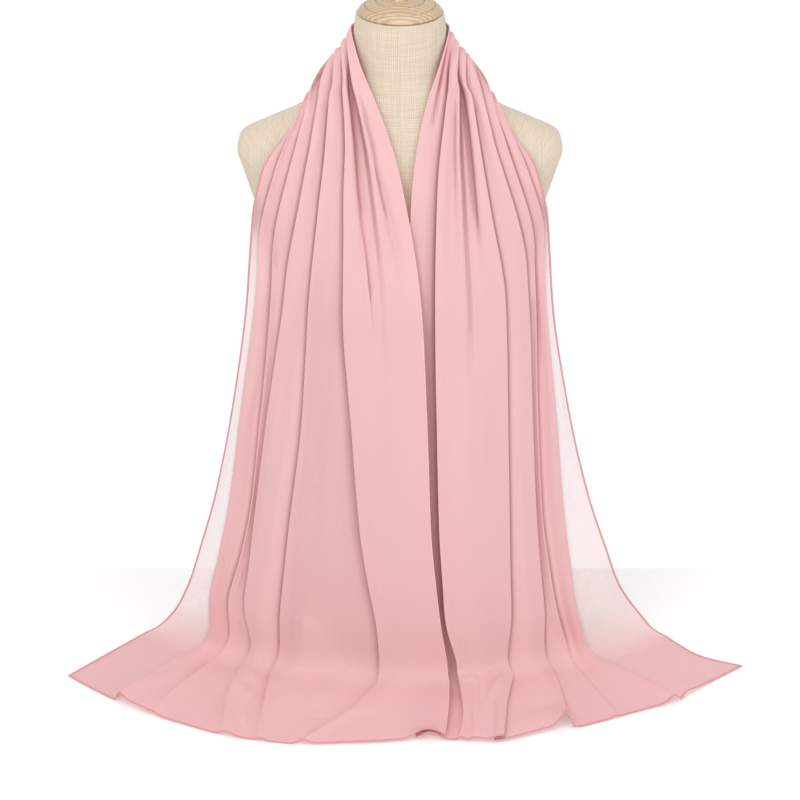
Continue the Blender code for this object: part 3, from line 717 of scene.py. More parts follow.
# ---------------------------------------------------------------- from corners to fine cloth
# What each corner of a section's chain is: its place from its fold line towards the next
# one, how far its rounding may reach in millimetres, the steps of that rounding, and how
# much of the cloth there is open to view rather than inside a tuck.
Corner = namedtuple("Corner", "place reach steps open")
PLEAT_CORNERS = (
    Corner(-0.35, 30.0, 4, 1.0),
    Corner(-0.03, 3.0, 3, 0.5),
    Corner(0.0, 3.0, 2, 0.0),
    Corner(0.0, 3.0, 2, 0.0),
    Corner(0.02, 3.0, 2, 0.1),
    Corner(0.14, 30.0, 4, 0.9),
)
HEM_CORNER = Corner(0.0, 0.0, 1, 1.0)
MID_CORNER = Corner(0.0, 30.0, 3, 1.0)
HEM_PLACE = 7.0

# The path over which the left half's corners turn into the right half's, the most of a leg
# that a rounding takes, and which of a leg's lengths along the cloth sets its columns.
BACK_BLEND = 100
ROUNDING_SHARE = 0.45
LENGTH_PERCENTILE = 80


def corners_of_half(pleats):
    """The corners of a whole section, with their places counted from the inner hem."""
    corners = []
    for i, pleat in enumerate(pleats, start=1):
        ordered = PLEAT_CORNERS if pleat.toward > 0 else PLEAT_CORNERS[::-1]
        corners += [corner._replace(place=i + pleat.toward * corner.place) for corner in ordered]
    inner = MID_CORNER._replace(place=corners[0].place / 2)
    outer = MID_CORNER._replace(place=(corners[-1].place + HEM_PLACE) / 2)
    return [HEM_CORNER, inner] + corners + [outer, HEM_CORNER._replace(place=HEM_PLACE)]


def row_paths():
    """Paths of the mesh rows from the left hem to the right hem."""
    half = [0.0]
    for stop, spacing in ROW_SPACINGS:
        steps = max(1, round((stop - half[-1]) / spacing))
        half += list(np.linspace(half[-1], stop, steps + 1)[1:])
    return np.array([-path for path in half[:0:-1]] + half)


def floor_place(degrees, reach):
    """A place on the surface as (x, y) from the spread centre."""
    angle = math.radians(degrees)
    return np.array((math.sin(angle), -math.cos(angle))) * reach * MM


class Cloth:
    """The scarf as rows of points, with where each point is on the cloth."""

    def __init__(self):
        self.paths = row_paths()
        sweep = Sweep()
        left = [corner._replace(steps=SLIT_STEPS) if math.isclose(corner.place, SLIT_PLACE) else corner
                for corner in corners_of_half(LEFT_PLEATS)]
        right = corners_of_half(RIGHT_PLEATS)
        share = smoothstep(self.paths / BACK_BLEND + 0.5)[:, None]
        corner_rows = np.array([sweep.row(path) for path in self.paths])
        places, opened, reaches = (
            mix(*(np.array([getattr(corner, name) for corner in half]) for half in (left, right)), share)
            for name in ("place", "open", "reach"))
        steps = [max(a.steps, b.steps) for a, b in zip(left, right)]
        rows = np.concatenate((corner_rows, places[..., None], opened[..., None]), axis=2)
        rows = self.rounded(rows, reaches * MM, steps)
        self.points = rows[..., :3]
        self.places = rows[..., 3]
        self.opened = rows[..., 4]
        self.measure()

    @staticmethod
    def rounded(rows, reaches, steps):
        """Rounds the corners of every row and divides its long straight stretches."""
        legs = rows[:, 1:] - rows[:, :-1]
        lengths = np.maximum(np.linalg.norm(legs[..., :3], axis=2), 1e-9)
        limit = ROUNDING_SHARE * np.minimum(lengths[:, :-1], lengths[:, 1:])
        cut = np.minimum(reaches[:, 1:-1], limit)
        before = rows[:, 1:-1] - legs[:, :-1] * (cut / lengths[:, :-1])[..., None]
        after = rows[:, 1:-1] + legs[:, 1:] * (cut / lengths[:, 1:])[..., None]
        columns = [rows[:, 0]]
        for j in range(rows.shape[1] - 2):
            columns += Cloth.straight(columns[-1], before[:, j])
            for k in range(1, steps[j + 1] + 1):
                t = k / steps[j + 1]
                columns.append(before[:, j] * (1 - t) ** 2 + rows[:, j + 1] * 2 * t * (1 - t)
                               + after[:, j] * t * t)
        columns += Cloth.straight(columns[-1], rows[:, -1])
        return np.stack(columns, axis=1)

    @staticmethod
    def straight(start, stop):
        length = np.percentile(np.linalg.norm((stop - start)[:, :3], axis=1), LENGTH_PERCENTILE) / MM
        steps = max(1, round(length / COLUMN_SPACING))
        return [mix(start, stop, k / steps) for k in range(1, steps + 1)]

    def measure(self):
        """Distance across the cloth, and the outward direction, at each point."""
        spans = np.linalg.norm(np.diff(self.points, axis=1), axis=2)
        self.across = np.concatenate((np.zeros((len(spans), 1)), np.cumsum(spans, axis=1)), axis=1) / MM
        along = np.gradient(self.points, axis=0)
        over = np.gradient(self.points, axis=1)
        normals = np.cross(along, over)
        self.normals = normals / np.maximum(np.linalg.norm(normals, axis=2), 1e-12)[..., None]

    def distance(self, row, place):
        """Millimetres across from a place counted in fold lines, at every point of one row."""
        centre = np.interp(place, self.places[row], self.across[row])
        return self.across[row] - centre

    def crease(self, creases, side):
        """Moves the cloth in or out along each crease."""
        lift = np.zeros(self.places.shape)
        for crease in creases:
            for row, path in enumerate(self.paths * side):
                t = (path - crease.start) / (crease.stop - crease.start)
                if not 0 < t < 1:
                    continue
                place = through(crease.at_start, crease.at_middle, crease.at_stop, t)
                off = self.distance(row, place) / crease.half_width
                lift[row] += crease.height * faded(t) * np.exp(-off * off)
        self.points = self.points + self.normals * (lift * self.opened * MM)[..., None]

    def fold(self, folds):
        """Raises the lying cloth along each fold."""
        centre = np.array((SPREAD_CENTRE_X, SPREAD_CENTRE_Y))
        flat = self.points[..., :2] - centre
        rise = np.zeros(self.places.shape)
        for fold in folds:
            start, middle, stop = (floor_place(*place) for place in (fold.start, fold.middle, fold.stop))
            curve = through(start, middle, stop, np.linspace(0, 1, FOLD_SAMPLES)[:, None])
            ways = np.gradient(curve, axis=0)
            steps = np.linalg.norm(ways, axis=1)
            ways /= steps[:, None]
            nearest = np.argmin(np.linalg.norm(flat[:, :, None] - curve, axis=3), axis=2)
            away = flat - curve[nearest]
            way = ways[nearest]
            side = way[..., 0] * away[..., 1] - way[..., 1] * away[..., 0]
            along = (nearest + (way * away).sum(axis=2) / steps[nearest]) / (FOLD_SAMPLES - 1)
            off = np.abs(side) / (np.where(side > 0, fold.left, fold.right) * MM)
            rise += fold.height * MM * faded(along) * np.exp(-off ** FOLD_SHARPNESS)
        lying = smoothstep(1.5 - self.points[..., 2] / FOLD_CEILING)
        self.points[..., 2] += rise * lying * self.opened

    def settle(self):
        """Keeps the cloth on the surface and measures it again."""
        self.points[..., 2] = np.maximum(self.points[..., 2], CLOTH_REST)
        self.measure()

    def cover(self):
        """Share of the background that the cloth hides at each point."""
        cover = np.zeros(self.places.shape)
        for row, path in enumerate(self.paths):
            hanging = RIGHT_COVER_HANGING if path > 0 else LEFT_COVER_HANGING
            lying = RIGHT_COVER_LYING if path > 0 else LEFT_COVER_LYING
            thin = smoothstep((abs(path) - THINNING_STARTS) / (THINNING_ENDS - THINNING_STARTS))
            lain = smoothstep((abs(path) - LYING_STARTS) / (LYING_ENDS - LYING_STARTS))
            table = mix(mix(np.full(len(hanging), DENSE), np.array(hanging), thin), np.array(lying), lain)
            cover[row] = np.interp(self.places[row], COVER_PLACES, table)
            if SLIT_START < -path < SLIT_STOP:
                t = (-path - SLIT_START) / (SLIT_STOP - SLIT_START)
                width = SLIT_HALF_WIDTH * math.sin(math.pi * t)
                inside = smoothstep((width - np.abs(self.distance(row, SLIT_PLACE))) / SLIT_EDGE + 0.5)
                cover[row] = mix(cover[row], SLIT_COVER, inside)
        return cover

    def beside(self):
        """The share of painted shade at each point, by how near it lies beside a layer in front of it."""
        painted_shade = np.zeros(self.places.shape)
        for row, path in enumerate(self.paths):
            x, y = self.points[row, :, 0], self.points[row, :, 1]
            off = np.abs(x[:, None] - x[None, :])
            in_front = y[:, None] - y[None, :] > PAINTED_SHADE_DEPTH
            nearest = np.where(in_front, off, 1.0).min(axis=1)
            hanging = (smoothstep((abs(path) - PAINTED_SHADE_STARTS) / PAINTED_SHADE_FADE)
                       * smoothstep((PAINTED_SHADE_ENDS - abs(path)) / PAINTED_SHADE_FADE))
            painted_shade[row] = PAINTED_SHADE_SHARE * hanging * smoothstep(1 - nearest / PAINTED_SHADE_REACH)
        return painted_shade


# ---------------------------------------------------------------- mesh helpers
def grid_faces(rows, columns, closed=False):
    """Quads of a grid of points. A closed grid joins its last column to its first."""
    faces = []
    for i in range(rows - 1):
        for j in range(columns if closed else columns - 1):
            k = (j + 1) % columns
            faces.append((i * columns + j, i * columns + k, (i + 1) * columns + k, (i + 1) * columns + j))
    return faces


def set_uv(mesh, name, values):
    """A UV map from one (u, v) for each vertex."""
    layer = mesh.uv_layers.new(name=name)
    loops = np.zeros(len(mesh.loops), dtype=np.int32)
    mesh.loops.foreach_get("vertex_index", loops)
    layer.data.foreach_set("uv", np.asarray(values, dtype=np.float32)[loops].ravel())


def set_attribute(mesh, name, values):
    layer = mesh.attributes.new(name, "FLOAT", "POINT")
    layer.data.foreach_set("value", np.asarray(values, dtype=np.float32).ravel())


def add_piece(name, points, faces, material, collection):
    mesh = bpy.data.meshes.new(name)
    mesh.from_pydata([tuple(point) for point in points], [], faces)
    mesh.shade_smooth()
    mesh.materials.append(material)
    obj = bpy.data.objects.new(name, mesh)
    collection.objects.link(obj)
    return obj


# ---------------------------------------------------------------- materials
class Shade:
    """A material under construction, with short calls that add and join nodes."""

    def __init__(self, name):
        self.material = bpy.data.materials.new(name)
        self.material.use_nodes = True
        self.tree = self.material.node_tree
        self.principled = self.tree.nodes["Principled BSDF"]
        self.output = self.tree.nodes["Material Output"]

    def add(self, kind, inputs=None, **settings):
        node = self.tree.nodes.new(kind)
        for name, value in settings.items():
            setattr(node, name, value)
        self.feed(node, inputs or {})
        return node

    def feed(self, node, inputs):
        for name, value in inputs.items():
            if isinstance(value, bpy.types.NodeSocket):
                self.tree.links.new(value, node.inputs[name])
            else:
                node.inputs[name].default_value = value

    def math(self, operation, a, b):
        return self.add("ShaderNodeMath", {0: a, 1: b}, operation=operation).outputs[0]

    def sum(self, *terms):
        """The sum of sockets, each times its weight."""
        total = None
        for socket, weight in terms:
            term = self.math("MULTIPLY", socket, weight)
            total = term if total is None else self.math("ADD", total, term)
        return total

    def noise(self, vector, scale, detail=2.0, roughness=0.5):
        inputs = {"Vector": vector, "Scale": scale, "Detail": detail, "Roughness": roughness}
        return self.add("ShaderNodeTexNoise", inputs).outputs["Fac"]

    def wave(self, vector, scale, direction, distortion=0.0):
        inputs = {"Vector": vector, "Scale": scale, "Distortion": distortion, "Detail": 1.0}
        return self.add("ShaderNodeTexWave", inputs, bands_direction=direction).outputs["Fac"]

    def stretched(self, vector, scale):
        return self.add("ShaderNodeMapping", {"Vector": vector, "Scale": scale}).outputs["Vector"]

    def blend(self, share, a, b):
        node = self.add("ShaderNodeMix", data_type="RGBA")
        self.feed(node, {0: share, 6: a, 7: b})
        return node.outputs[2]

    def spread(self, value, low, high):
        inputs = {"Value": value, "To Min": low, "To Max": high}
        return self.add("ShaderNodeMapRange", inputs).outputs["Result"]

    def bump(self, height, strength, distance):
        inputs = {"Height": height, "Strength": strength, "Distance": distance}
        return self.add("ShaderNodeBump", inputs).outputs["Normal"]


PINK = (0.845, 0.515, 0.54, 1.0)
PINK_WARM = (0.855, 0.54, 0.54, 1.0)
# Colour of the painted shade in the hollows beside the pleats, partly the doubled cloth.
PINK_PAINTED_SHADE = (0.42, 0.16, 0.18, 1.0)
PINK_GLOW = (0.89, 0.455, 0.455, 1.0)
HEM_PINK = (0.70, 0.28, 0.30, 1.0)
GLOW_SHARE = 0.15
CREPE_PER_METRE = 1100
THREADS_PER_METRE = 1900


def make_chiffon():
    """Sheer matt crepe: fine grain, some light through it, less cover where it is single, and painted shade
    beside the pleats.
    """
    shade = Shade("chiffon")
    uv = shade.add("ShaderNodeUVMap", uv_map="cloth").outputs["UV"]
    crepe = shade.noise(uv, CREPE_PER_METRE, detail=2.0)
    warp = shade.wave(uv, THREADS_PER_METRE / math.tau, "X", 0.4)
    weft = shade.wave(uv, THREADS_PER_METRE / math.tau, "Y", 0.4)
    grain = shade.sum((crepe, 0.7), (shade.math("MULTIPLY", warp, weft), 0.3))
    drift = shade.noise(shade.stretched(uv, (9.0, 2.5, 1.0)), 1.0, detail=3.0)
    # Painted shade: the colour darkens towards a deep pink beside the pleats, for the shadow in those
    # hollows and partly for the doubled cloth.
    beside = shade.add("ShaderNodeAttribute", attribute_name="beside").outputs["Fac"]
    tint = shade.blend(beside, shade.blend(drift, PINK, PINK_WARM), PINK_PAINTED_SHADE)
    normal = shade.bump(grain, 0.12, 0.0002)
    shade.feed(shade.principled, {"Base Color": tint, "Roughness": 0.78, "Specular IOR Level": 0.25,
                                  "Sheen Weight": 0.18, "Sheen Roughness": 0.45, "Normal": normal})
    glow = shade.add("ShaderNodeBsdfTranslucent", {"Color": PINK_GLOW, "Normal": normal})
    cloth = shade.add("ShaderNodeMixShader", {0: GLOW_SHARE, 1: shade.principled.outputs[0],
                                              2: glow.outputs[0]})
    cover = shade.add("ShaderNodeAttribute", attribute_name="cover").outputs["Fac"]
    mottle = shade.spread(shade.noise(uv, 420, detail=3.0), 0.93, 1.08)
    held_back = shade.math("MINIMUM", shade.math("MULTIPLY", cover, mottle), 1.0)
    clear = shade.add("ShaderNodeBsdfTransparent")
    whole = shade.add("ShaderNodeMixShader", {0: held_back, 1: clear.outputs[0], 2: cloth.outputs[0]})
    shade.feed(shade.output, {"Surface": whole.outputs[0]})
    return shade.material


def make_hem_material():
    """The rolled edge: several layers, so denser and darker, with small stitches."""
    shade = Shade("chiffon_rolled_hem")
    uv = shade.add("ShaderNodeUVMap", uv_map="along").outputs["UV"]
    stitches = shade.wave(uv, 400 / math.tau, "Y", 0.6)
    twist = shade.noise(shade.stretched(uv, (1.0, 160.0, 1.0)), 3.0)
    height = shade.sum((stitches, 0.6), (twist, 0.6))
    single = shade.add("ShaderNodeAttribute", attribute_name="single").outputs["Fac"]
    dense = shade.math("MULTIPLY", single, shade.spread(height, 1.0, 0.75))
    tint = shade.blend(dense, PINK, HEM_PINK)
    shade.feed(shade.principled, {"Base Color": tint, "Roughness": 0.75, "Specular IOR Level": 0.25,
                                  "Sheen Weight": 0.15, "Normal": shade.bump(height, 0.5, 0.0004)})
    return shade.material


LINEN_PALE = (0.83, 0.73, 0.60, 1.0)
LINEN_DEEP = (0.50, 0.39, 0.28, 1.0)
LINEN_THREADS_PER_METRE = 900


def make_linen():
    """Plain-woven linen with uneven, slubby threads both ways."""
    shade = Shade("linen")
    uv = shade.add("ShaderNodeUVMap", uv_map="cloth").outputs["UV"]
    pitch = LINEN_THREADS_PER_METRE
    warp = shade.wave(uv, pitch / math.tau, "X", 2.4)
    weft = shade.wave(uv, pitch / math.tau, "Y", 2.4)
    warp_slubs = shade.noise(shade.stretched(uv, (pitch * 0.7, 26.0, 1.0)), 1.0, detail=2.0)
    weft_slubs = shade.noise(shade.stretched(uv, (26.0, pitch * 0.7, 1.0)), 1.0, detail=2.0)
    height = shade.sum((warp, 0.2), (weft, 0.2), (warp_slubs, 0.4), (weft_slubs, 0.4))
    tint = shade.blend(shade.spread(height, -0.35, 1.15), LINEN_DEEP, LINEN_PALE)
    shade.feed(shade.principled, {"Base Color": tint, "Roughness": 0.88, "Specular IOR Level": 0.2,
                                  "Sheen Weight": 0.12, "Normal": shade.bump(height, 0.45, 0.0004)})
    return shade.material


WOOD_PALE = (0.74, 0.57, 0.39, 1.0)
WOOD_DEEP = (0.38, 0.24, 0.13, 1.0)


def make_wood():
    """Pale turned wood under satin lacquer, with fine wavy grain."""
    shade = Shade("turned_wood")
    place = shade.add("ShaderNodeTexCoord").outputs["Object"]
    bent = shade.noise(shade.stretched(place, (9.0, 9.0, 30.0)), 1.0, detail=2.0)
    bands = shade.wave(shade.stretched(place, (12.0, 60.0, 40.0)), 1.1, "Y", 6.0)
    fibres = shade.noise(shade.stretched(place, (40.0, 700.0, 700.0)), 1.0, detail=2.0)
    figure = shade.sum((bands, 0.45), (fibres, 0.35), (bent, 0.3))
    tint = shade.blend(shade.spread(figure, -0.15, 1.0), WOOD_DEEP, WOOD_PALE)
    shade.feed(shade.principled, {"Base Color": tint, "Roughness": 0.38, "Coat Weight": 0.35,
                                  "Coat Roughness": 0.2, "Normal": shade.bump(fibres, 0.12, 0.0003)})
    return shade.material


# ---------------------------------------------------------------- the scarf and its hem
def make_scarf(cloth, material, collection):
    rows, columns = cloth.places.shape
    faces = grid_faces(rows, columns)
    scarf = add_piece("scarf", cloth.points.reshape(-1, 3), faces, material, collection)
    along = np.repeat(cloth.paths[:, None], columns, axis=1)
    set_uv(scarf.data, "cloth", np.stack((cloth.across, along), axis=2).reshape(-1, 2) * MM)
    set_attribute(scarf.data, "cover", cloth.cover())
    # Painted shade beside the pleats, which the chiffon's colour reads.
    set_attribute(scarf.data, "beside", cloth.beside())
    return scarf


HEM_SIDES = 8
OUTER_HEM_HALF_WIDTH = 1.5 * MM
OUTER_HEM_HALF_THICK = 0.6 * MM
INNER_HEM_HALF_WIDTH = 0.8 * MM
INNER_HEM_HALF_THICK = 0.45 * MM


def border_of(grid):
    """The four edges of a grid of values, in one loop."""
    return np.concatenate((grid[:-1, 0], grid[-1, :-1], grid[:0:-1, -1], grid[0, :0:-1]))


def make_rolled_hem(cloth, material, collection):
    """A flat tube along all four edges of the cloth, slimmer where layers lie behind it."""
    points = cloth.points
    single = np.ones(cloth.places.shape)
    single[:, 0] = 0
    single = border_of(single)[:, None]
    half_width = mix(INNER_HEM_HALF_WIDTH, OUTER_HEM_HALF_WIDTH, single)
    half_thick = mix(INNER_HEM_HALF_THICK, OUTER_HEM_HALF_THICK, single)
    inward = np.zeros_like(points)
    for edge, beside in ((0, 1), (-1, -2)):
        inward[:, edge] += points[:, beside] - points[:, edge]
        inward[edge] += points[beside] - points[edge]
    centre = border_of(points)
    inside = border_of(inward)
    inside /= np.linalg.norm(inside, axis=1)[:, None]
    outward = border_of(cloth.normals)
    centre = centre + inside * 0.6 * half_width
    centre[:, 2] = np.maximum(centre[:, 2], OUTER_HEM_HALF_THICK)
    rings = []
    for k in range(HEM_SIDES):
        angle = math.tau * k / HEM_SIDES
        rings.append(centre + inside * half_width * math.cos(angle)
                     + outward * half_thick * math.sin(angle))
    loop = np.stack(rings, axis=1)
    loop = np.concatenate((loop, loop[:1]))
    faces = grid_faces(len(loop), HEM_SIDES, closed=True)
    hem = add_piece("scarf_rolled_hem", loop.reshape(-1, 3), faces, material, collection)
    steps = np.linalg.norm(np.diff(loop[:, 0], axis=0), axis=1)
    travel = np.concatenate(([0.0], np.cumsum(steps)))
    around = np.linspace(0, 1, HEM_SIDES, endpoint=False)
    uv = np.stack(np.broadcast_arrays(around[None, :], travel[:, None]), axis=2)
    set_uv(hem.data, "along", uv.reshape(-1, 2))
    single = np.concatenate((single, single[:1]))
    set_attribute(hem.data, "single", np.repeat(single, HEM_SIDES, axis=1))
    return hem


# ---------------------------------------------------------------- the form and its stand
SEAM_HALF_WIDTH = 1.1 * MM
SEAM_DEPTH = 0.35 * MM
NECK_SEAM_HEIGHT = 698 * MM
NECK_SEAM_SLOPE = 0.4
NECK_SEAM_REACH = 28 * MM
PANEL_SEAM_ANGLES = (-90, 90)
PANEL_SEAM_TURN = 0.75
SEAM_COLUMNS = (-1.6, -0.9, -0.45, 0.45, 0.9, 1.6)
RINGS_A_SECTION = 6


def torso_angles():
    """Plan angles of the torso's columns, with more of them beside each panel seam."""
    angles = list(np.linspace(0, 360, TORSO_SIDES, endpoint=False))
    for seam in PANEL_SEAM_ANGLES:
        angles += [seam % 360 + PANEL_SEAM_TURN * column for column in SEAM_COLUMNS]
    return sorted(angles)


def torso_heights():
    """Heights of the torso's rings, with more of them beside the neck seam."""
    table = [row.height * MM for row in TORSO_SECTIONS]
    count = RINGS_A_SECTION * (len(table) - 1) + 1
    rings = [float(np.interp(i / RINGS_A_SECTION, range(len(table)), table)) for i in range(count)]
    rings += list(np.arange(NECK_SEAM_HEIGHT - NECK_SEAM_REACH, NECK_SEAM_HEIGHT + NECK_SEAM_REACH,
                            SEAM_HALF_WIDTH))
    return sorted(rings)


def seam_groove(degrees, height, y):
    """Depth of the sewn seams at a point of the form. The neck seam rises towards the back."""
    off = (height - NECK_SEAM_HEIGHT - NECK_SEAM_SLOPE * y) / SEAM_HALF_WIDTH
    depth = math.exp(-off * off)
    for seam in PANEL_SEAM_ANGLES:
        off = ((degrees - seam + 180) % 360 - 180) / PANEL_SEAM_TURN
        depth = max(depth, math.exp(-off * off))
    return SEAM_DEPTH * depth


def make_torso(material, collection):
    heights = torso_heights()
    angles = torso_angles()
    grid = np.array([[form_point(math.radians(angle), height) for angle in angles] for height in heights])
    around = np.roll(grid, -1, axis=1) - np.roll(grid, 1, axis=1)
    up = np.gradient(grid, axis=0)
    normals = np.cross(around, up)
    normals /= np.linalg.norm(normals, axis=2)[..., None]
    depth = np.array([[seam_groove(angle, height, point[1]) for angle, point in zip(angles, ring)]
                      for height, ring in zip(heights, grid)])
    arcs = np.cumsum(np.linalg.norm(around, axis=2) / 2, axis=1)
    climbs = np.linalg.norm(np.diff(grid, axis=0), axis=2)
    climbed = np.concatenate((np.zeros((1, len(angles))), np.cumsum(climbs, axis=0)))
    middle = int(np.argmin(np.abs(np.array(angles) - 270)))
    arcs -= arcs[:, middle][:, None]
    grid = grid - normals * depth[..., None]
    rows, columns = grid.shape[:2]
    faces = grid_faces(rows, columns, closed=True)
    faces.append(tuple(range(columns))[::-1])
    faces.append(tuple((rows - 1) * columns + j for j in range(columns)))
    torso = add_piece("linen_torso", grid.reshape(-1, 3), faces, material, collection)
    set_uv(torso.data, "cloth", np.stack((arcs, climbed - climbed[-1]), axis=2).reshape(-1, 2))
    torso.data.set_sharp_from_angle(angle=math.radians(50))
    return torso


def make_turned(name, profile, material, collection):
    """A turned solid: a profile of (radius, height) from its top down, spun round Z."""
    top, bottom = profile[0][1], profile[-1][1]
    rings = [(radius, height) for radius, height in profile if radius > 0]
    turns = [math.tau * k / TURNED_SIDES for k in range(TURNED_SIDES)]
    points = [(radius * math.cos(turn), radius * math.sin(turn), height)
              for radius, height in rings for turn in turns]
    points = [(0.0, 0.0, top)] + points + [(0.0, 0.0, bottom)]
    faces = [tuple(index + 1 for index in reversed(face))
             for face in grid_faces(len(rings), TURNED_SIDES, closed=True)]
    last = len(points) - 1
    for k in range(TURNED_SIDES):
        after = (k + 1) % TURNED_SIDES
        faces.append((0, 1 + k, 1 + after))
        faces.append((last, last - TURNED_SIDES + after, last - TURNED_SIDES + k))
    piece = add_piece(name, points, faces, material, collection)
    piece.data.set_sharp_from_angle(angle=math.radians(35))
    return piece


def arc(centre_radius, centre_height, radius, start_deg, stop_deg, count):
    """Points of a profile arc, by angle from the horizontal."""
    angles = [math.radians(mix(start_deg, stop_deg, i / count)) for i in range(count + 1)]
    return [(centre_radius + radius * math.cos(a), centre_height + radius * math.sin(a)) for a in angles]


FORM_GAP = 0.3 * MM
TORSO_BOTTOM = 60 * MM
BASE_RADIUS = 90 * MM
BASE_THICKNESS = 18 * MM
POST_RADIUS = 16 * MM


# The cap below its knob, as radius and height in millimetres: stem, then a low dome with two
# ring grooves, then its rounded rim.
CAP_PROFILE = (
    (8.0, 43), (7.4, 36), (7.6, 28), (8.6, 21), (11.2, 17.0), (11.8, 15.6), (14.0, 15.2),
    (20.0, 14.8), (25.6, 14.0), (26.6, 12.4), (27.6, 13.4), (33.0, 11.6), (37.8, 9.4),
    (38.7, 7.6), (39.7, 8.3), (42.8, 6.4), (45.0, 4.6), (46.1, 2.6), (46.1, 1.2), (45.2, 0), (0, 0),
)


def make_neck_cap(material, collection):
    """Turned dome with two ring grooves, a stem and a round knob."""
    knob_radius = 15.5 * MM
    knob_height = 59 * MM
    profile = [(0, knob_height + knob_radius)]
    profile += arc(0, knob_height, knob_radius, 84, -52, 26)
    profile += [(radius * MM, height * MM) for radius, height in CAP_PROFILE]
    cap = make_turned("wooden_neck_cap", profile, material, collection)
    tilt = math.radians(NECK_TILT_DEG)
    cap.rotation_euler = (tilt, 0, 0)
    cap.location = Vector((0, 0, NECK_RIM_HEIGHT)) + Vector((0, -math.sin(tilt), math.cos(tilt))) * FORM_GAP
    return cap


def make_post(material, collection):
    post_bottom = BASE_THICKNESS + FORM_GAP
    post_top = TORSO_BOTTOM - FORM_GAP
    flare = 4 * MM
    collar = POST_RADIUS + 3 * MM
    profile = [(0, post_top), (collar, post_top), (collar, post_top - 5 * MM),
               (POST_RADIUS, post_top - 8 * MM), (POST_RADIUS, post_bottom + 8 * MM)]
    profile += arc(POST_RADIUS + flare, post_bottom + 5 * MM, flare, 180, 250, 6)
    profile += [(POST_RADIUS + 5 * MM, post_bottom), (0, post_bottom)]
    return make_turned("wooden_post", profile, material, collection)


def make_base(material, collection):
    rim = 6 * MM
    profile = [(0, BASE_THICKNESS), (BASE_RADIUS - 14 * MM, BASE_THICKNESS)]
    profile += arc(BASE_RADIUS - rim, BASE_THICKNESS - rim, rim, 80, 0, 10)
    profile += [(BASE_RADIUS, 2 * MM), (BASE_RADIUS - 2 * MM, 0), (0, 0)]
    return make_turned("wooden_base", profile, material, collection)


# ---------------------------------------------------------------- stage, light and camera
# The camera looks down at the front from the photograph's angle.
CAMERA_PLACE = (0.0, -2.30, 1.312)
CAMERA_PITCH_DEG = 23.35
CAMERA_LENS = 95.27
SENSOR_WIDTH = 36.0

TABLE_FAR_EDGE = 0.179
TABLE_SPAN = 3.0
GROUND_DROP = 3 * MM
GROUND_SPAN = 14.0
ROOM_LIGHT = 0.72
BACKDROP_LIGHT = 1.01

# Sizes in metres and powers in watts.
Lamp = namedtuple("Lamp", "name place target size power")
LAMPS = rows_of(
    Lamp,
    ("key", (-1.3, -2.4, 2.3), (0.0, -0.05, 0.30), 1.5, 22.0),
    ("fill", (1.7, -2.2, 0.9), (0.0, -0.05, 0.20), 1.8, 11.5),
    ("overhead", (0.0, -0.7, 2.6), (0.0, -0.1, 0.0), 1.5, 13.0),
)


def plain_material(name, albedo, glow):
    shade = Shade(name)
    tone = shade.blend(shade.noise(shade.add("ShaderNodeTexCoord").outputs["Object"], 3.0),
                       (albedo * 0.99, albedo * 0.99, albedo * 0.985, 1.0), (albedo, albedo, albedo, 1.0))
    shade.feed(shade.principled, {"Base Color": tone, "Roughness": 0.9, "Specular IOR Level": 0.1,
                                  "Emission Color": (1.0, 1.0, 1.0, 1.0), "Emission Strength": glow})
    return shade.material


def add_plane(name, x_span, y_start, y_stop, height, material, collection):
    corners = [(-x_span, y_start, height), (x_span, y_start, height),
               (x_span, y_stop, height), (-x_span, y_stop, height)]
    plane = add_piece(name, corners, [(0, 1, 2, 3)], material, collection)


def add_lamp(lamp, collection):
    data = bpy.data.lights.new(lamp.name, "AREA")
    data.shape = "DISK"
    data.size = lamp.size
    data.energy = lamp.power
    light = bpy.data.objects.new(lamp.name, data)
    light.location = lamp.place
    way = Vector(lamp.target) - Vector(lamp.place)
    light.rotation_euler = way.to_track_quat("-Z", "Y").to_euler()
    collection.objects.link(light)


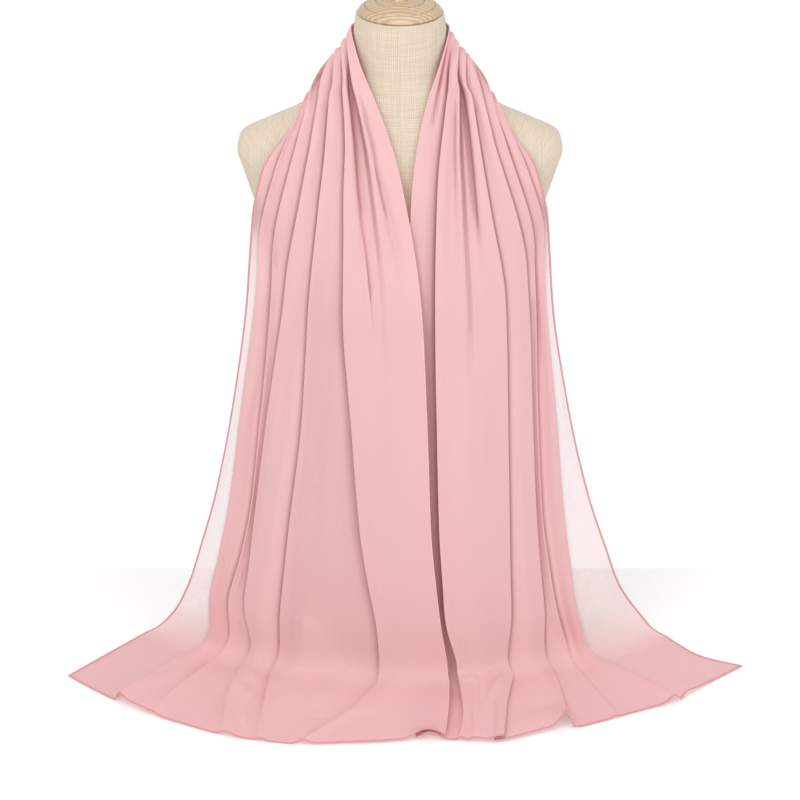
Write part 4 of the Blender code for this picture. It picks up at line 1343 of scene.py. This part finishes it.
def make_stage(collection):
    table = plain_material("white_table", 0.86, 0.18)
    ground = plain_material("white_ground", 0.0, 1.01)
    add_plane("white_table_top", TABLE_SPAN, -TABLE_SPAN, TABLE_FAR_EDGE, 0.0, table, collection)
    add_plane("white_ground_beyond", GROUND_SPAN, TABLE_FAR_EDGE, GROUND_SPAN, -GROUND_DROP, ground,
              collection)

    world = bpy.data.worlds.new("white_studio")
    world.use_nodes = True
    nodes, links = world.node_tree.nodes, world.node_tree.links
    light = nodes["Background"]
    light.inputs["Color"].default_value = (1.0, 0.995, 0.985, 1.0)
    light.inputs["Strength"].default_value = ROOM_LIGHT
    backdrop = nodes.new("ShaderNodeBackground")
    backdrop.inputs["Strength"].default_value = BACKDROP_LIGHT
    seen = nodes.new("ShaderNodeLightPath")
    either = nodes.new("ShaderNodeMixShader")
    links.new(seen.outputs["Is Camera Ray"], either.inputs[0])
    links.new(light.outputs[0], either.inputs[1])
    links.new(backdrop.outputs[0], either.inputs[2])
    links.new(either.outputs[0], nodes["World Output"].inputs["Surface"])
    bpy.context.scene.world = world
    for lamp in LAMPS:
        add_lamp(lamp, collection)


def make_camera(collection):
    data = bpy.data.cameras.new("camera")
    data.lens = CAMERA_LENS
    data.sensor_width = SENSOR_WIDTH
    camera = bpy.data.objects.new("camera", data)
    camera.location = CAMERA_PLACE
    camera.rotation_euler = (math.radians(90 - CAMERA_PITCH_DEG), 0, 0)
    collection.objects.link(camera)
    bpy.context.scene.camera = camera


# ---------------------------------------------------------------- everything together
def place_piece(piece, slot, *nodes):
    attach(piece, "root")
    if nodes:
        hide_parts(*nodes)


def main():
    collection = bpy.context.scene.collection
    bpy.context.scene.view_settings.view_transform = "Standard"
    make_camera(collection)
    make_stage(collection)

    cloth = Cloth()
    cloth.crease(LEFT_CREASES, -1)
    cloth.crease(RIGHT_CREASES, 1)
    cloth.crease(BACK_CREASES, 1)
    cloth.fold(FLOOR_FOLDS)
    cloth.settle()
    scarf = make_scarf(cloth, make_chiffon(), collection)
    hem = make_rolled_hem(cloth, make_hem_material(), collection)
    place_piece(scarf, "chiffon", "scarf_left_fall", "scarf_neck_band", "scarf_right_fall")
    place_piece(hem, "chiffon")

    wood = make_wood()
    place_piece(make_torso(make_linen(), collection), "linen", "form_torso")
    place_piece(make_neck_cap(wood, collection), "wood", "neck_cap")
    place_piece(make_post(wood, collection), "wood", "stand_post")
    place_piece(make_base(wood, collection), "wood", "stand_base")


main()
